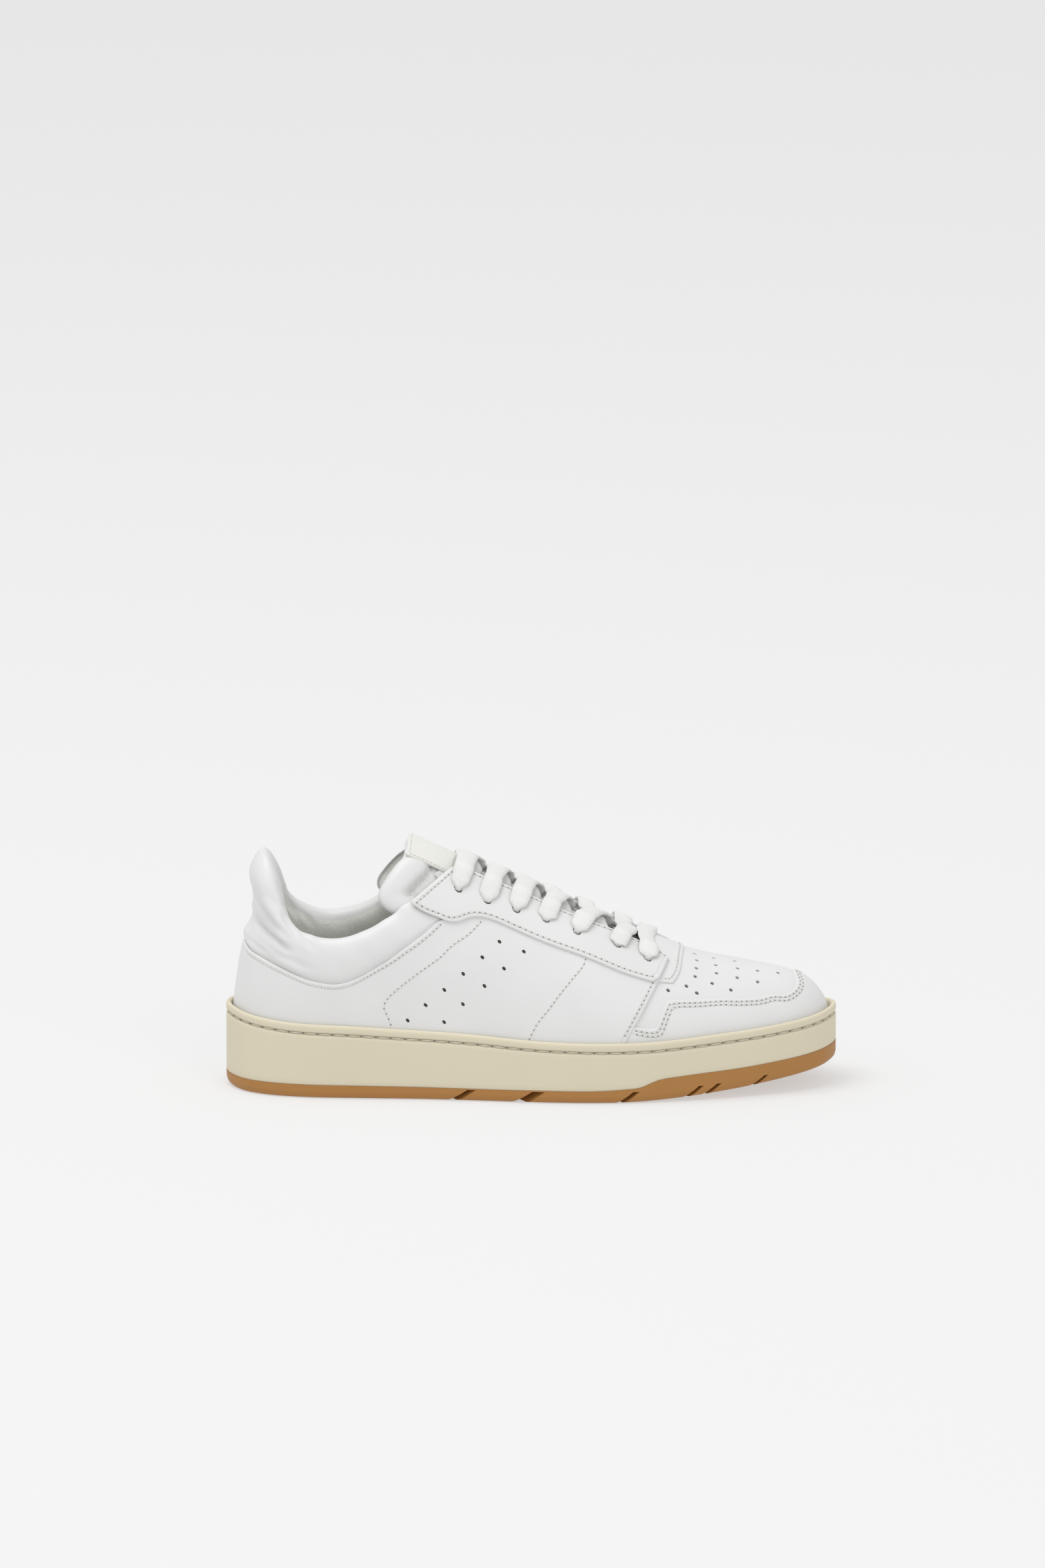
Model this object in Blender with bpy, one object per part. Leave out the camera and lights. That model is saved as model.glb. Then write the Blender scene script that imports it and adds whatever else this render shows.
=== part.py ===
"""A right-foot low court shoe, built as separate closed solids in Blender.

Lengths are in millimetres until a mesh is made; the scene is in metres. The shoe stands on Z = 0, its toe towards
+X and its outer (lateral) side towards -Y. `s` is the distance forward from the back of the heel. A place on the
upper is given by `g`, how far round the shoe it is (0 at the heel, 1 at the toe by the lateral side, -1 at the toe
by the medial side), and by `t`, how far up it is (0 at the sole, 1 on the ridge over the instep). A `lift` is a
distance outwards from the foot shape, so the layers of leather and lining differ only in their lifts.
"""

import math

import bmesh
import bpy
import numpy as np
from mathutils import Vector
from mathutils.geometry import delaunay_2d_cdt

MM = 0.001
LENGTH = 300.0
GAP = 0.3
COLUMNS = 20  # facets along each side of the shoe
ROWS = 8  # facets from the sole to the ridge

# Layers of the upper: (inner lift, outer lift).
UPPER_INSET = 5.3  # from the sole's edge in to the foot shape
LINING = (-3.4, -2.6)
STIFFENER = (-2.3, -1.5)
BASE = (-1.2, 0.0)
PANEL = (0.3, 1.5)
OVERLAY = (1.8, 3.0)
LACE_UNDER = -4.35
LACE_OVER = 4.0
LACE_WIDTH, LACE_THICK = 5.0, 1.0
TONGUE_SHELL = (-6.1, -5.3)
TONGUE_FOAM = (-10.2, -6.4)
TONGUE_LINING = (-11.3, -10.5)
TONGUE_LABEL = (-5.0, -4.3)
EYELET_RADIUS = 2.7
HEEL_SEAM = 0.0016  # half the gap between the two quarters at the heel, as a share of g

# The sole, from the ground up.
SOLE_ROUND = 3.6
CUP_FLOOR = 2.4
CUP_WALL = (2.0, 2.9)  # wall thickness at the floor and at the rim
GROOVE_DROP, GROOVE_HALF, GROOVE_DEEP = 4.6, 0.8, 1.5
BOARD_THICK, FOOTBED_THICK = 1.6, 4.4

# The tongue turns on this line across the shoe, where it is sewn under the throat.
HINGE_S, HINGE_Z = 222.0, 55.0


def curve(*knots):
    """A smooth function through (x, y) knots that stays level beyond its ends."""
    x, y = np.array(knots, float).T
    slope = np.gradient(y, x)

    def at(value):
        v = np.clip(value, x[0], x[-1])
        i = np.clip(np.searchsorted(x, v) - 1, 0, len(x) - 2)
        span = x[i + 1] - x[i]
        u = (v - x[i]) / span
        start = (1 + 2 * u) * (1 - u) ** 2 * y[i] + u * (1 - u) ** 2 * span * slope[i]
        return start + u * u * (3 - 2 * u) * y[i + 1] + u * u * (u - 1) * span * slope[i + 1]

    return at


def station(p):
    """Distance from the heel of a share p of the way round one side; stations crowd together at both ends."""
    return LENGTH / 2 * (1 - np.cos(np.pi * p))


def share(s):
    return np.arccos(np.clip(1 - 2 * np.asarray(s, float) / LENGTH, -1, 1)) / np.pi


def edge(*knots):
    """One side of the sole's outline from (s, y) knots, as a function of the share p."""
    return curve(*((float(share(s)), y) for s, y in knots))


LATERAL_EDGE = edge(
    (0, 0), (3, -13.5), (10, -24.3), (22, -32.3), (40, -37.5), (70, -40), (100, -42), (130, -46),
    (160, -50), (180, -51), (200, -49.5), (225, -44.5), (250, -37), (270, -29), (285, -21), (294, -12),
    (298, -4), (300, 6),
)
MEDIAL_EDGE = edge(
    (0, 0), (3, 13.5), (10, 24.3), (22, 32.3), (40, 37.5), (60, 38.5), (90, 37), (120, 37.5), (150, 40.5),
    (180, 46), (205, 50), (225, 51), (250, 47.5), (270, 40.5), (285, 32), (294, 23), (298, 16), (300, 6),
)

# Heights along the sole, each a function of s.
HEEL_SPRING, HEEL_FLAT, TOE_SPRING, TOE_FLAT = 0.8, 8.0, 11.8, 190.0


def ground(s):
    """The outsole's lower face: flat on the floor between the heel's and the toe's spring."""
    s = np.asarray(s, float)
    heel = np.clip((HEEL_FLAT - s) / HEEL_FLAT, 0, 1)
    toe = np.clip((s - TOE_FLAT) / (LENGTH - TOE_FLAT), 0, 1)
    return HEEL_SPRING * heel**2 + TOE_SPRING * toe**1.7


SPLIT = curve(
    (0, 6.8), (60, 6.6), (150, 6.2), (195, 6.9), (203, 7.6), (212, 11), (225, 12.6), (255, 14.9),
    (285, 18.3), (300, 20.5),
)
FOOT_LEVEL = curve(
    (0, 18), (100, 16), (180, 14), (200, 14.6), (212, 16), (225, 17.4), (255, 19.8), (285, 23.5), (300, 26),
)
RIM = curve(
    (0, 41.5), (15, 39), (30, 37.5), (60, 36.3), (90, 34.8), (120, 33.3), (150, 31), (180, 30), (210, 30.2),
    (240, 32.3), (270, 34.8), (290, 37.5), (300, 39.5),
)

# The ridge over the foot: its height, its sideways place, and the roundness of the sections below it.
RIDGE = curve(
    (0, 131), (60, 131), (80, 131), (97, 124.5), (113, 117), (155, 98), (185, 84), (212, 70.5), (230, 64.5),
    (250, 60.5), (262, 58.5), (280, 56.5), (300, 54.5),
)
RIDGE_Y = curve((0, 0), (70, 0), (120, 3), (180, 5), (250, 5), (300, 6))
ROUNDNESS = curve((0, 1.85), (60, 1.9), (110, 2), (180, 2.1), (230, 2.4), (300, 2.6))
# Sections fan out round the heel and the toe: the ridge station that each edge station rises to.
RIDGE_STATION = curve((0, 48), (40, 58), (75, 76), (110, 110), (200, 200), (240, 233), (270, 252), (300, 263))


def outline(g, inset=0.0):
    """(s, y) on the sole's outline, moved inwards by inset."""
    g = np.asarray(g, float)
    g = np.where(g > 1, g - 2, np.where(g < -1, g + 2, g))
    lateral = g >= 0
    p = np.abs(g)

    def at(q):
        return np.array([station(q), np.where(lateral, LATERAL_EDGE(q), MEDIAL_EDGE(q))])

    step = 1e-4
    along = at(np.clip(p + step, 0, 1)) - at(np.clip(p - step, 0, 1))
    along[1] = np.where((p < step) | (p > 1 - step), np.where(lateral, -1, 1) * np.where(p < 0.5, 1, -1), along[1])
    along[0] = np.where((p < step) | (p > 1 - step), 0, along[0])
    out = np.where(lateral, 1, -1) * np.array([along[1], -along[0]]) / np.hypot(*along)
    s, y = at(p)
    return s - inset * out[0], y - inset * out[1]


def foot(g, t):
    """The point (s, y, z) of the foot shape at g, t. Past t = 1 it comes down the other side."""
    g, t = np.broadcast_arrays(np.asarray(g, float), np.asarray(t, float))
    g, t = np.where(t > 1, -g, g), np.where(t > 1, 2 - t, t)
    edge_s, edge_y = outline(g, UPPER_INSET)
    around = np.where(g > 1, 2 - g, np.where(g < -1, 2 + g, np.abs(g)))
    ridge_s = RIDGE_STATION(station(around))
    power = 2 / ROUNDNESS(ridge_s)
    angle = np.clip(t, 0, 1) * np.pi / 2
    reach, rise = np.cos(angle) ** power, np.sin(angle) ** power
    s = ridge_s + (edge_s - ridge_s) * reach
    y = RIDGE_Y(ridge_s) + (edge_y - RIDGE_Y(ridge_s)) * reach
    level = FOOT_LEVEL(edge_s)
    return np.stack([s, y, level + (RIDGE(s) - level) * rise], axis=-1)


def outwards(g, t):
    """The foot shape's outward unit normal."""
    g, t = np.broadcast_arrays(np.asarray(g, float), np.asarray(t, float))
    step = 2e-3
    point = foot(g, t)
    middle_t = np.clip(t, step, 2 - step)
    normal = np.cross(foot(g + step, t) - foot(g - step, t), foot(g, middle_t + step) - foot(g, middle_t - step))
    size = np.linalg.norm(normal, axis=-1, keepdims=True)
    normal = np.where(size > 1e-9, normal / np.maximum(size, 1e-9), [0.0, 0.0, 1.0])
    middle = np.stack([np.clip(point[..., 0], 45, 262), RIDGE_Y(point[..., 0]), 0 * point[..., 0] + 35], axis=-1)
    facing = np.sum(normal * (point - middle), axis=-1, keepdims=True)
    return np.where(facing < 0, -normal, normal)


GRID_G, GRID_T = np.meshgrid(np.arange(-2 * COLUMNS, 2 * COLUMNS + 1) / COLUMNS, np.arange(ROWS + 1) / ROWS, indexing="ij")
GRID_POINT = foot(GRID_G, GRID_T)
GRID_OUT = outwards(GRID_G, GRID_T)


def on_grid(u, v, lift):
    """The point at pattern coordinates u, v (columns, rows) on the faceted foot shape, raised by lift."""
    i = int(min(max(math.floor(u + 1e-9), -2 * COLUMNS), 2 * COLUMNS - 1))
    j = int(min(max(math.floor(v + 1e-9), 0), ROWS - 1))
    a, b = u - i, v - j
    if a + b <= 1:
        corners = ((i, j, 1 - a - b), (i + 1, j, a), (i, j + 1, b))
    else:
        corners = ((i + 1, j + 1, a + b - 1), (i, j + 1, 1 - a), (i + 1, j, 1 - b))
    total = np.zeros(3)
    for x, y, weight in corners:
        total += weight * (GRID_POINT[x + 2 * COLUMNS, y] + lift * GRID_OUT[x + 2 * COLUMNS, y])
    return total


def rise_to(g, z):
    """The t at which the foot shape reaches height z."""
    samples = np.linspace(0, 1, 201)
    return float(np.interp(z, foot(np.full(201, g), samples)[:, 2], samples))


def place(s, z):
    """The pattern coordinates (g, t) of the lateral point at s, z in side elevation."""
    low, high = 0.0, 1.0
    for _ in range(30):
        g = (low + high) / 2
        low, high = (g, high) if foot(g, rise_to(g, z))[0] < s else (low, g)
    return g, rise_to(g, z)


def on_ridge(s):
    low, high = 0.0, 1.0
    for _ in range(30):
        g = (low + high) / 2
        low, high = (g, high) if RIDGE_STATION(station(g)) < s else (low, g)
    return g, 1.0


def at_sole(s):
    return float(share(s)), 0.0


def side_line(*points):
    return [place(s, z) for s, z in points]


def mirrored(pattern):
    return [(-g, t) for g, t in pattern]


# Lines on the lateral side in elevation, (s, z).
COLLAR_SEAM = (
    (8.6, 71.2), (12.5, 69.3), (19.9, 66.3), (30, 62.1), (40, 58.2), (49.4, 56.4), (56, 56.4), (63, 58.4),
    (71, 62.6), (80, 68), (88.5, 74.2), (97.4, 80.6), (104.3, 86.6),
)
EYESTAY_REAR = ((90.6, 95.3), (104.9, 87.9))
EYESTAY_LOWER = (
    (110, 86), (115, 86.2), (120.5, 87.8), (126.4, 87.6), (133.7, 85.3), (148.9, 78.7), (161, 74),
    (174.5, 69.2), (192.2, 61.9), (209, 56.2),
)
EYESTAY_TOP = ((101.1, 103.4), (110.4, 109.6), (114.5, 109.8))
THROAT_EDGE = (
    (124.6, 105.4), (140.1, 98.9), (155.6, 92.2), (170.8, 85.4), (184.2, 80.1), (198, 74), (210, 68.5),
    (216.8, 64.6),
)
QUARTER_FRONT = ((211.7, 56.1), (204.6, 44), (196.5, 30))
EYELETS = ((113.8, 100.4), (127.9, 94.7), (142.1, 90), (156.4, 85), (171.6, 79), (191, 72.2), (206, 65.3))
MUDGUARD_EDGE = ((203, 36.6), (207.7, 35.8), (211.6, 36.4), (215.7, 45.5), (219.5, 48.6), (228, 48.2), (242.3, 48), (251, 47.3), (261, 47), (268, 47.9))
COUNTER_TOP = ((2, 56), (30, 55), (60, 50), (80, 38))


def closed_object(name, verts, faces, colour, roughness=0.6):
    """A named object with its own material, from points in millimetres."""
    mesh = bpy.data.meshes.new(name)
    work = bmesh.new()
    made = [work.verts.new(Vector(((p[0] - LENGTH / 2) * MM, p[1] * MM, p[2] * MM))) for p in verts]
    for face in faces:
        corners = list(dict.fromkeys(face))
        if len(corners) > 2:
            work.faces.new([made[i] for i in corners])
    bmesh.ops.remove_doubles(work, verts=work.verts, dist=1e-6)
    bmesh.ops.delete(work, geom=[v for v in work.verts if not v.link_faces], context="VERTS")
    bmesh.ops.triangulate(work, faces=work.faces)
    bmesh.ops.recalc_face_normals(work, faces=work.faces)
    work.to_mesh(mesh)
    work.free()
    item = bpy.data.objects.new(name, mesh)
    bpy.context.collection.objects.link(item)
    material = bpy.data.materials.new(name)
    material.use_nodes = True
    shader = material.node_tree.nodes["Principled BSDF"]
    shader.inputs["Base Color"].default_value = (*colour, 1)
    shader.inputs["Roughness"].default_value = roughness
    mesh.materials.append(material)
    return item


def inside(point, loop):
    x, y = point
    found = False
    for (x1, y1), (x2, y2) in zip(loop, loop[1:] + loop[:1]):
        if (y1 > y) != (y2 > y) and x < (x2 - x1) * (y - y1) / (y2 - y1) + x1:
            found = not found
    return found


def facets(loop, holes):
    """Triangles covering a pattern outline, split along the grid so that every facet stays flat."""
    points, edges = [], []
    for ring in [loop, *holes]:
        first = len(points)
        points += ring
        edges += [(first + i, first + (i + 1) % len(ring)) for i in range(len(ring))]
    us, vs = [p[0] for p in loop], [p[1] for p in loop]
    columns = range(math.floor(min(us)), math.ceil(max(us)) + 1)
    rows = range(max(0, math.floor(min(vs))), min(ROWS, math.ceil(max(vs))) + 1)
    index = {}
    for i in columns:
        for j in rows:
            index[i, j] = len(points)
            points.append((i, j))
    for i, j in index:
        for other in ((i + 1, j), (i, j + 1), (i - 1, j + 1)):
            if other in index:
                edges.append((index[i, j], index[other]))
    verts, _, faces, *_ = delaunay_2d_cdt([Vector(p) for p in points], edges, [], 0, 1e-4)
    kept = []
    for face in faces:
        centre = sum((verts[i] for i in face), Vector((0, 0))) / len(face)
        if inside(centre, loop) and not any(inside(centre, hole) for hole in holes):
            kept.append(list(face))
    return [(v.x, v.y) for v in verts], kept


def layer(name, patterns, lifts, colour, holes=(), roughness=0.6):
    """A panel of even thickness on the foot shape, cut to one or more pattern outlines that join on the ridge."""
    corners, key, faces = [], {}, []
    for pattern in patterns:
        loop = [(g * COLUMNS, t * ROWS) for g, t in pattern]
        own = [h for h in holes if inside(h[0], loop)]
        verts, kept = facets(loop, own)
        names = []
        for u, v in verts:
            spot = tuple(np.round(on_grid(u, v, 0.0), 3))
            if spot not in key:
                key[spot] = len(corners)
                corners.append((u, v))
            names.append(key[spot])
        for face in kept:
            face = [names[i] for i in face]
            if len(set(face)) == 3:
                faces.append(face)
    used = {}
    for face in faces:
        for a, b in zip(face, face[1:] + face[:1]):
            used[frozenset((a, b))] = used.get(frozenset((a, b)), 0) + 1
    count = len(corners)
    inner, outer = lifts
    points = [on_grid(u, v, outer) for u, v in corners] + [on_grid(u, v, inner) for u, v in corners]
    solid = faces + [[i + count for i in reversed(face)] for face in faces]
    for pair, times in used.items():
        if times == 1:
            a, b = pair
            solid.append([a, b, b + count, a + count])
    return closed_object(name, points, solid, colour, roughness)


def punched(g, t, radius, sides=6):
    """A round hole's outline in grid units."""
    here = foot(g, t)
    per_u = np.linalg.norm(foot(g + 0.01, t) - here) / 0.01 / COLUMNS
    per_v = np.linalg.norm(foot(g, t + 0.01) - here) / 0.01 / ROWS
    turns = [2 * math.pi * (k + 0.5) / sides for k in range(sides)]
    return [(g * COLUMNS + radius * math.cos(a) / per_u, t * ROWS + radius * math.sin(a) / per_v) for a in turns]


def rings(name, levels, colour, span=(0.0, 1.0), roughness=0.6, hollow=False):
    """A body of closed rings (inset, height function) round the sole, first and last capped across."""
    around = np.arange(2 * COLUMNS) / COLUMNS
    around = np.where(around > 1, around - 2, around)
    points, faces, size = [], [], 2 * COLUMNS
    for inset, height in levels:
        s, y = outline(around, inset)
        points += list(zip(s, y, height(s)))
    last = len(levels) - 1
    for k in range(last if not hollow else last + 1):
        a, b = k * size, (k + 1) % len(levels) * size
        faces += [[a + i, a + (i + 1) % size, b + (i + 1) % size, b + i] for i in range(size)]
    if not hollow:
        for k in (0, last):
            a = k * size
            faces += [[a + i, a + i + 1, a + (size - i - 1) % size, a + (size - i) % size] for i in range(COLUMNS)]
    return closed_object(name, points, faces, colour, roughness)


def plus(function, more):
    return lambda s: function(s) + more


def slab(name, inset, low, high, first, last, colour, roughness=0.7):
    """A flat piece inside the sole between two stations."""
    stops = np.linspace(first, last, 13)
    points = []
    for s in stops:
        p = float(share(s))
        for side in (1, -1):
            at, y = map(float, outline(side * p, inset))
            points += [(at, y, float(low(at))), (at, y, float(high(at)))]
    faces = [[0, 1, 3, 2]]
    for k in range(len(stops) - 1):
        a, b = 4 * k, 4 * k + 4
        faces += [[a, b, b + 1, a + 1], [a + 2, a + 3, b + 3, b + 2], [a + 1, b + 1, b + 3, a + 3], [a, a + 2, b + 2, b]]
    a = 4 * (len(stops) - 1)
    faces.append([a, a + 2, a + 3, a + 1])
    return closed_object(name, points, faces, colour, roughness)


def tube(name, sections, colour, roughness=0.7, closed=False):
    """A closed body through polygons of equally many points."""
    size, points, faces = len(sections[0]), [], []
    for section in sections:
        points += [tuple(p) for p in section]
    for k in range(len(sections) - (0 if closed else 1)):
        a, b = k * size, (k + 1) % len(sections) * size
        faces += [[a + i, a + (i + 1) % size, b + (i + 1) % size, b + i] for i in range(size)]
    if not closed:
        faces += [list(range(size)), list(range((len(sections) - 1) * size, len(sections) * size))]
    return closed_object(name, points, faces, colour, roughness)


WHITE, CREAM, GUM = (0.78, 0.78, 0.77), (0.6, 0.55, 0.42), (0.31, 0.14, 0.05)
CLOTH, FOAM, BOARD, THREAD = (0.62, 0.63, 0.58), (0.7, 0.66, 0.45), (0.45, 0.36, 0.25), (0.72, 0.69, 0.6)


def make_sole():
    rings("outsole", [
        (SOLE_ROUND, ground), (SOLE_ROUND * 0.3, plus(ground, 1.1)), (0.2, plus(ground, SOLE_ROUND)),
        (0, plus(SPLIT, -1.2)), (0.6, SPLIT),
    ], GUM)
    floor = plus(SPLIT, GAP + CUP_FLOOR)
    groove = plus(RIM, -GROOVE_DROP)
    rings("cupsole", [
        (0.6, plus(SPLIT, GAP)), (0, plus(SPLIT, 1.5)), (0, plus(groove, -GROOVE_HALF - 0.6)),
        (GROOVE_DEEP, plus(groove, -GROOVE_HALF)), (GROOVE_DEEP, plus(groove, GROOVE_HALF)),
        (0, plus(groove, GROOVE_HALF + 0.6)), (0, plus(RIM, -1.2)), (1.1, RIM), (CUP_WALL[1], plus(RIM, -1)),
        (CUP_WALL[0], plus(FOOT_LEVEL, 2)), (CUP_WALL[0], floor),
    ], CREAM)
    rings("sidewall_stitching", [
        (0.3, groove), (0.75, plus(groove, -0.45)), (1.2, groove), (0.75, plus(groove, 0.45)),
    ], THREAD, hollow=True)
    slab("midsole_wedge", CUP_WALL[0] + 1.2, plus(floor, GAP), plus(FOOT_LEVEL, -GAP), 12, 196, FOAM)
    within = UPPER_INSET - LINING[0] + GAP
    rings("insole_board", [(within, FOOT_LEVEL), (within, plus(FOOT_LEVEL, BOARD_THICK))], BOARD)
    sock = plus(FOOT_LEVEL, BOARD_THICK + GAP)
    rings("footbed", [
        (within + 0.4, sock), (within + 0.6, plus(sock, FOOTBED_THICK)), (within + 3, plus(sock, FOOTBED_THICK + 0.4)),
        (within + 9, plus(sock, FOOTBED_THICK - 0.6)),
    ], CLOTH)


def lateral_patterns():
    """Pattern outlines of the lateral pieces."""
    seam = side_line(*COLLAR_SEAM[1:])
    centre = (HEEL_SEAM, seam[0][1] + 0.012)
    below = [(g, t - 0.006) for g, t in seam]
    rear = side_line(*EYESTAY_REAR)
    top = side_line(*EYESTAY_TOP)
    throat = side_line(*THROAT_EDGE)
    lower = side_line(*EYESTAY_LOWER)
    front = side_line(*QUARTER_FRONT)
    inner_throat = [(g, t - 0.018) for g, t in throat]
    inner_top = [(g + 0.002, t - 0.012) for g, t in top]
    joint = side_line((208.9, 67.6), (208, 62), (203.3, 56), (193.8, 44), (186, 30))
    tail = [at_sole(192.5)]
    heel_low = (HEEL_SEAM, 0.0)
    notch = side_line((212.4, 66.4), (211.2, 57.2))
    quarter = [heel_low, (HEEL_SEAM, centre[1] - 0.006), *below, rear[0], *inner_top, *inner_throat[:-2], *notch,
               *front[1:], *tail]
    lining = [heel_low, (HEEL_SEAM, centre[1] - 0.006), *below, rear[0], *inner_top, *inner_throat[:-2],
              *joint, at_sole(184)]
    backing = [rear[0], *inner_top, *inner_throat[:-3], *side_line((196.5, 71), (193, 60.5)),
               *[(g, t - 0.0) for g, t in lower[-3::-1][:7]], *side_line((109.5, 86.4), (105.4, 88.3))]
    eyestay = [rear[0], *top, *throat, *side_line((211.9, 56.4)), *lower[::-1], rear[1]]
    return {"quarter": quarter, "quarter_lining": lining, "eyestay_backing": backing, "eyestay": eyestay}


def front_patterns():
    """Outlines of the pieces that cross the toe, as lateral halves that end on the ridge or the toe's centre line."""
    def about_toe(half):
        back = [(2 - g, t) for g, t in reversed(half)]
        joined = half + back
        return joined

    vamp = [at_sole(186.8), *side_line((188.6, 30), (197, 44), (207, 56), (211.6, 62), (213.6, 67)), on_ridge(215)]
    lining = [at_sole(185.2), *side_line((187.2, 30), (195, 44), (204.6, 56), (209.4, 62), (211.6, 67)), on_ridge(213)]
    guard = [at_sole(199), *side_line(*MUDGUARD_EDGE), *[(g, t) for g, t in ((0.838, 0.46), (0.87, 0.51), (0.9, 0.585),
             (0.925, 0.66), (0.96, 0.73), (0.985, 0.75))]]
    puff = [at_sole(252), *side_line((254, 40), (258, 50)), (0.86, 0.72), (0.93, 0.84)]
    return {"vamp": about_toe(vamp), "vamp_lining": about_toe(lining), "mudguard": about_toe(guard), "toe_puff": about_toe(puff)}


def make_upper():
    eyelets = [punched(*place(s, z), EYELET_RADIUS) for s, z in EYELETS]
    eyelets += [[(-u, v) for u, v in reversed(hole)] for hole in eyelets]
    lifts = {"quarter": PANEL, "quarter_lining": LINING, "eyestay_backing": BASE, "eyestay": OVERLAY}
    for kind, pattern in lateral_patterns().items():
        colour = CLOTH if "lining" in kind or "backing" in kind else WHITE
        layer(kind + "_lateral", [pattern], lifts[kind], colour, eyelets)
        layer(kind + "_medial", [mirrored(pattern)], lifts[kind], colour, eyelets)
    lifts = {"vamp": BASE, "vamp_lining": LINING, "mudguard": PANEL, "toe_puff": STIFFENER}
    for kind, pattern in front_patterns().items():
        layer(kind, [pattern], lifts[kind], WHITE if kind in ("vamp", "mudguard") else CLOTH)
    counter = side_line(*COUNTER_TOP)
    half = [*counter, at_sole(86)]
    layer("heel_counter", [half + [(-g, t) for g, t in reversed(half)]], STIFFENER, BOARD)
    tape = [(-0.045, 0.0), (-0.045, 0.30), (0.045, 0.30), (0.045, 0.0)]
    layer("heel_seam_tape", [tape], BASE, CLOTH)
    saddle = [on_ridge(213.4), *side_line((213.4, 67.2), (212.2, 57.4), (219.4, 56), (222.6, 60), (224.2, 65)), on_ridge(224.6)]
    layer("throat_saddle", [saddle, mirrored(saddle)], PANEL, WHITE)


def make_tongue():
    half = [on_ridge(91), *side_line((86, 117), (77.5, 106.5), (73.5, 97.5)), *side_line(
        (84, 89.5), (100, 85), (125, 80), (150, 73), (180, 66), (205, 60)), place(226, 55), on_ridge(229)]
    pieces = []
    for name, lifts, colour, inset in (
        ("tongue_shell", TONGUE_SHELL, WHITE, 0), ("tongue_foam", TONGUE_FOAM, FOAM, 1),
        ("tongue_lining", TONGUE_LINING, CLOTH, 0),
    ):
        outlined = half
        if inset:
            outlined = [(g + (0.006 if k in (0, 1, 2, 3) else -0.006 if k > 9 else 0), t + (0.02 if 1 < k < 11 else 0))
                        for k, (g, t) in enumerate(half)]
        pieces.append(layer(name, [outlined, mirrored(outlined)], lifts, colour))
    label = [on_ridge(92.2), *side_line((90, 121.5), (96.5, 117.4)), on_ridge(100.5)]
    pieces.append(layer("tongue_label", [label, mirrored(label)], TONGUE_LABEL, CREAM))
    hinge = bpy.data.objects.new("tongue_hinge", None)
    hinge.location = ((HINGE_S - LENGTH / 2) * MM, 0, HINGE_Z * MM)
    bpy.context.collection.objects.link(hinge)
    bpy.context.view_layer.update()
    for piece in pieces:
        piece.parent = hinge
        piece.matrix_parent_inverse = hinge.matrix_world.inverted()


# The collar's sections: (seam s, seam z, top s, top y, top z, share of the horn's profile, thickness share).
COLLAR = (
    (101.4, 85.0, 86.6, -24.6, 93.6, 0.0, 0.42), (96.0, 80.6, 82.8, -25.2, 90.2, 0.0, 0.6),
    (88.3, 75.0, 78.0, -26.0, 87.2, 0.0, 0.8), (79.8, 68.8, 70.5, -26.8, 82.8, 0.0, 1.0),
    (70.8, 63.4, 62.0, -27.2, 79.6, 0.0, 1.0), (60.5, 58.2, 52.5, -27.0, 77.8, 0.0, 1.0),
    (48.5, 57.2, 43.5, -26.2, 79.0, 0.0, 1.0), (37.5, 60.0, 35.5, -25.2, 82.6, 0.06, 1.0),
    (28.5, 63.5, 30.2, -23.4, 88.3, 0.22, 1.0), (21.0, 66.6, 26.6, -20.8, 97.0, 0.5, 1.0),
    (15.8, 68.6, 23.4, -16.2, 108.0, 0.8, 1.0), (12.5, 70.2, 20.4, -9.4, 115.0, 0.95, 1.0),
    (8.7, 72.0, 18.6, 0.0, 117.4, 1.0, 1.0),
)
MEDIAL_RISE = 4.0
# (share of the height, distance outwards) round the section: up the outside, over the top and down the inside.
ROLL = ((0, 0), (0.2, 2.2), (0.45, 3.4), (0.72, 3.4), (0.93, 1.9), (1, -1.4), (0.93, -5.2), (0.72, -7.6), (0.45, -7.6),
        (0.2, -5.8), (0.03, -4.1))
HORN = ((0, 0), (0.09, 1.5), (0.25, -0.7), (0.5, 0.8), (0.76, 5.0), (1, 0.5), (0.84, -7.2), (0.58, -9.8), (0.34, -9.2),
        (0.13, -6.0), (0.02, -4.1))


def collar_section(row, medial, inset):
    """The section's points, moved into the roll by inset."""
    seam_s, seam_z, top_s, top_y, top_z, horn, thick = row
    g, t = place(seam_s, seam_z) if seam_s > 8.7 else (0.0, rise_to(0.0, seam_z))
    side = -1 if medial else 1
    foot_at = on_grid(side * g * COLUMNS, t * ROWS, 0.9)
    top = np.array([top_s, side * top_y, top_z + (MEDIAL_RISE * (1 - horn) if medial else 0)])
    chord = top - foot_at
    height = np.linalg.norm(chord)
    up = chord / height
    out = outwards(side * g, t)
    out = out - up * out.dot(up)
    out /= np.linalg.norm(out)
    points = []
    for (a1, b1), (a2, b2) in zip(ROLL, HORN):
        a, b = a1 + (a2 - a1) * horn, b1 + (b2 - b1) * horn
        b = b * thick if b > 0 or a > 0.1 else b
        if b < -4.1 and thick < 1:
            b = max(b, -4.4)
        points.append(np.array([a * height, b]))
    if inset:
        moved = []
        for k, p in enumerate(points):
            before, after = points[max(k - 1, 0)], points[min(k + 1, len(points) - 1)]
            along = (after - before) / np.linalg.norm(after - before)
            moved.append(p + inset * np.array([-along[1], along[0]]) * -1)
        points = moved
    return [foot_at + up * a + out * b for a, b in points]


def make_collar():
    rows = [(row, False) for row in COLLAR] + [(row, True) for row in COLLAR[-2::-1]]
    cover, foam = [], []
    for row, medial in rows:
        outer, inner = collar_section(row, medial, 0.0), collar_section(row, medial, 0.9)
        cover.append(outer + inner[::-1])
        foam.append(collar_section(row, medial, 1.3)[1:-1])
    tube("collar_cover", cover, WHITE)
    tube("collar_foam", foam[1:-1], FOAM)


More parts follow.
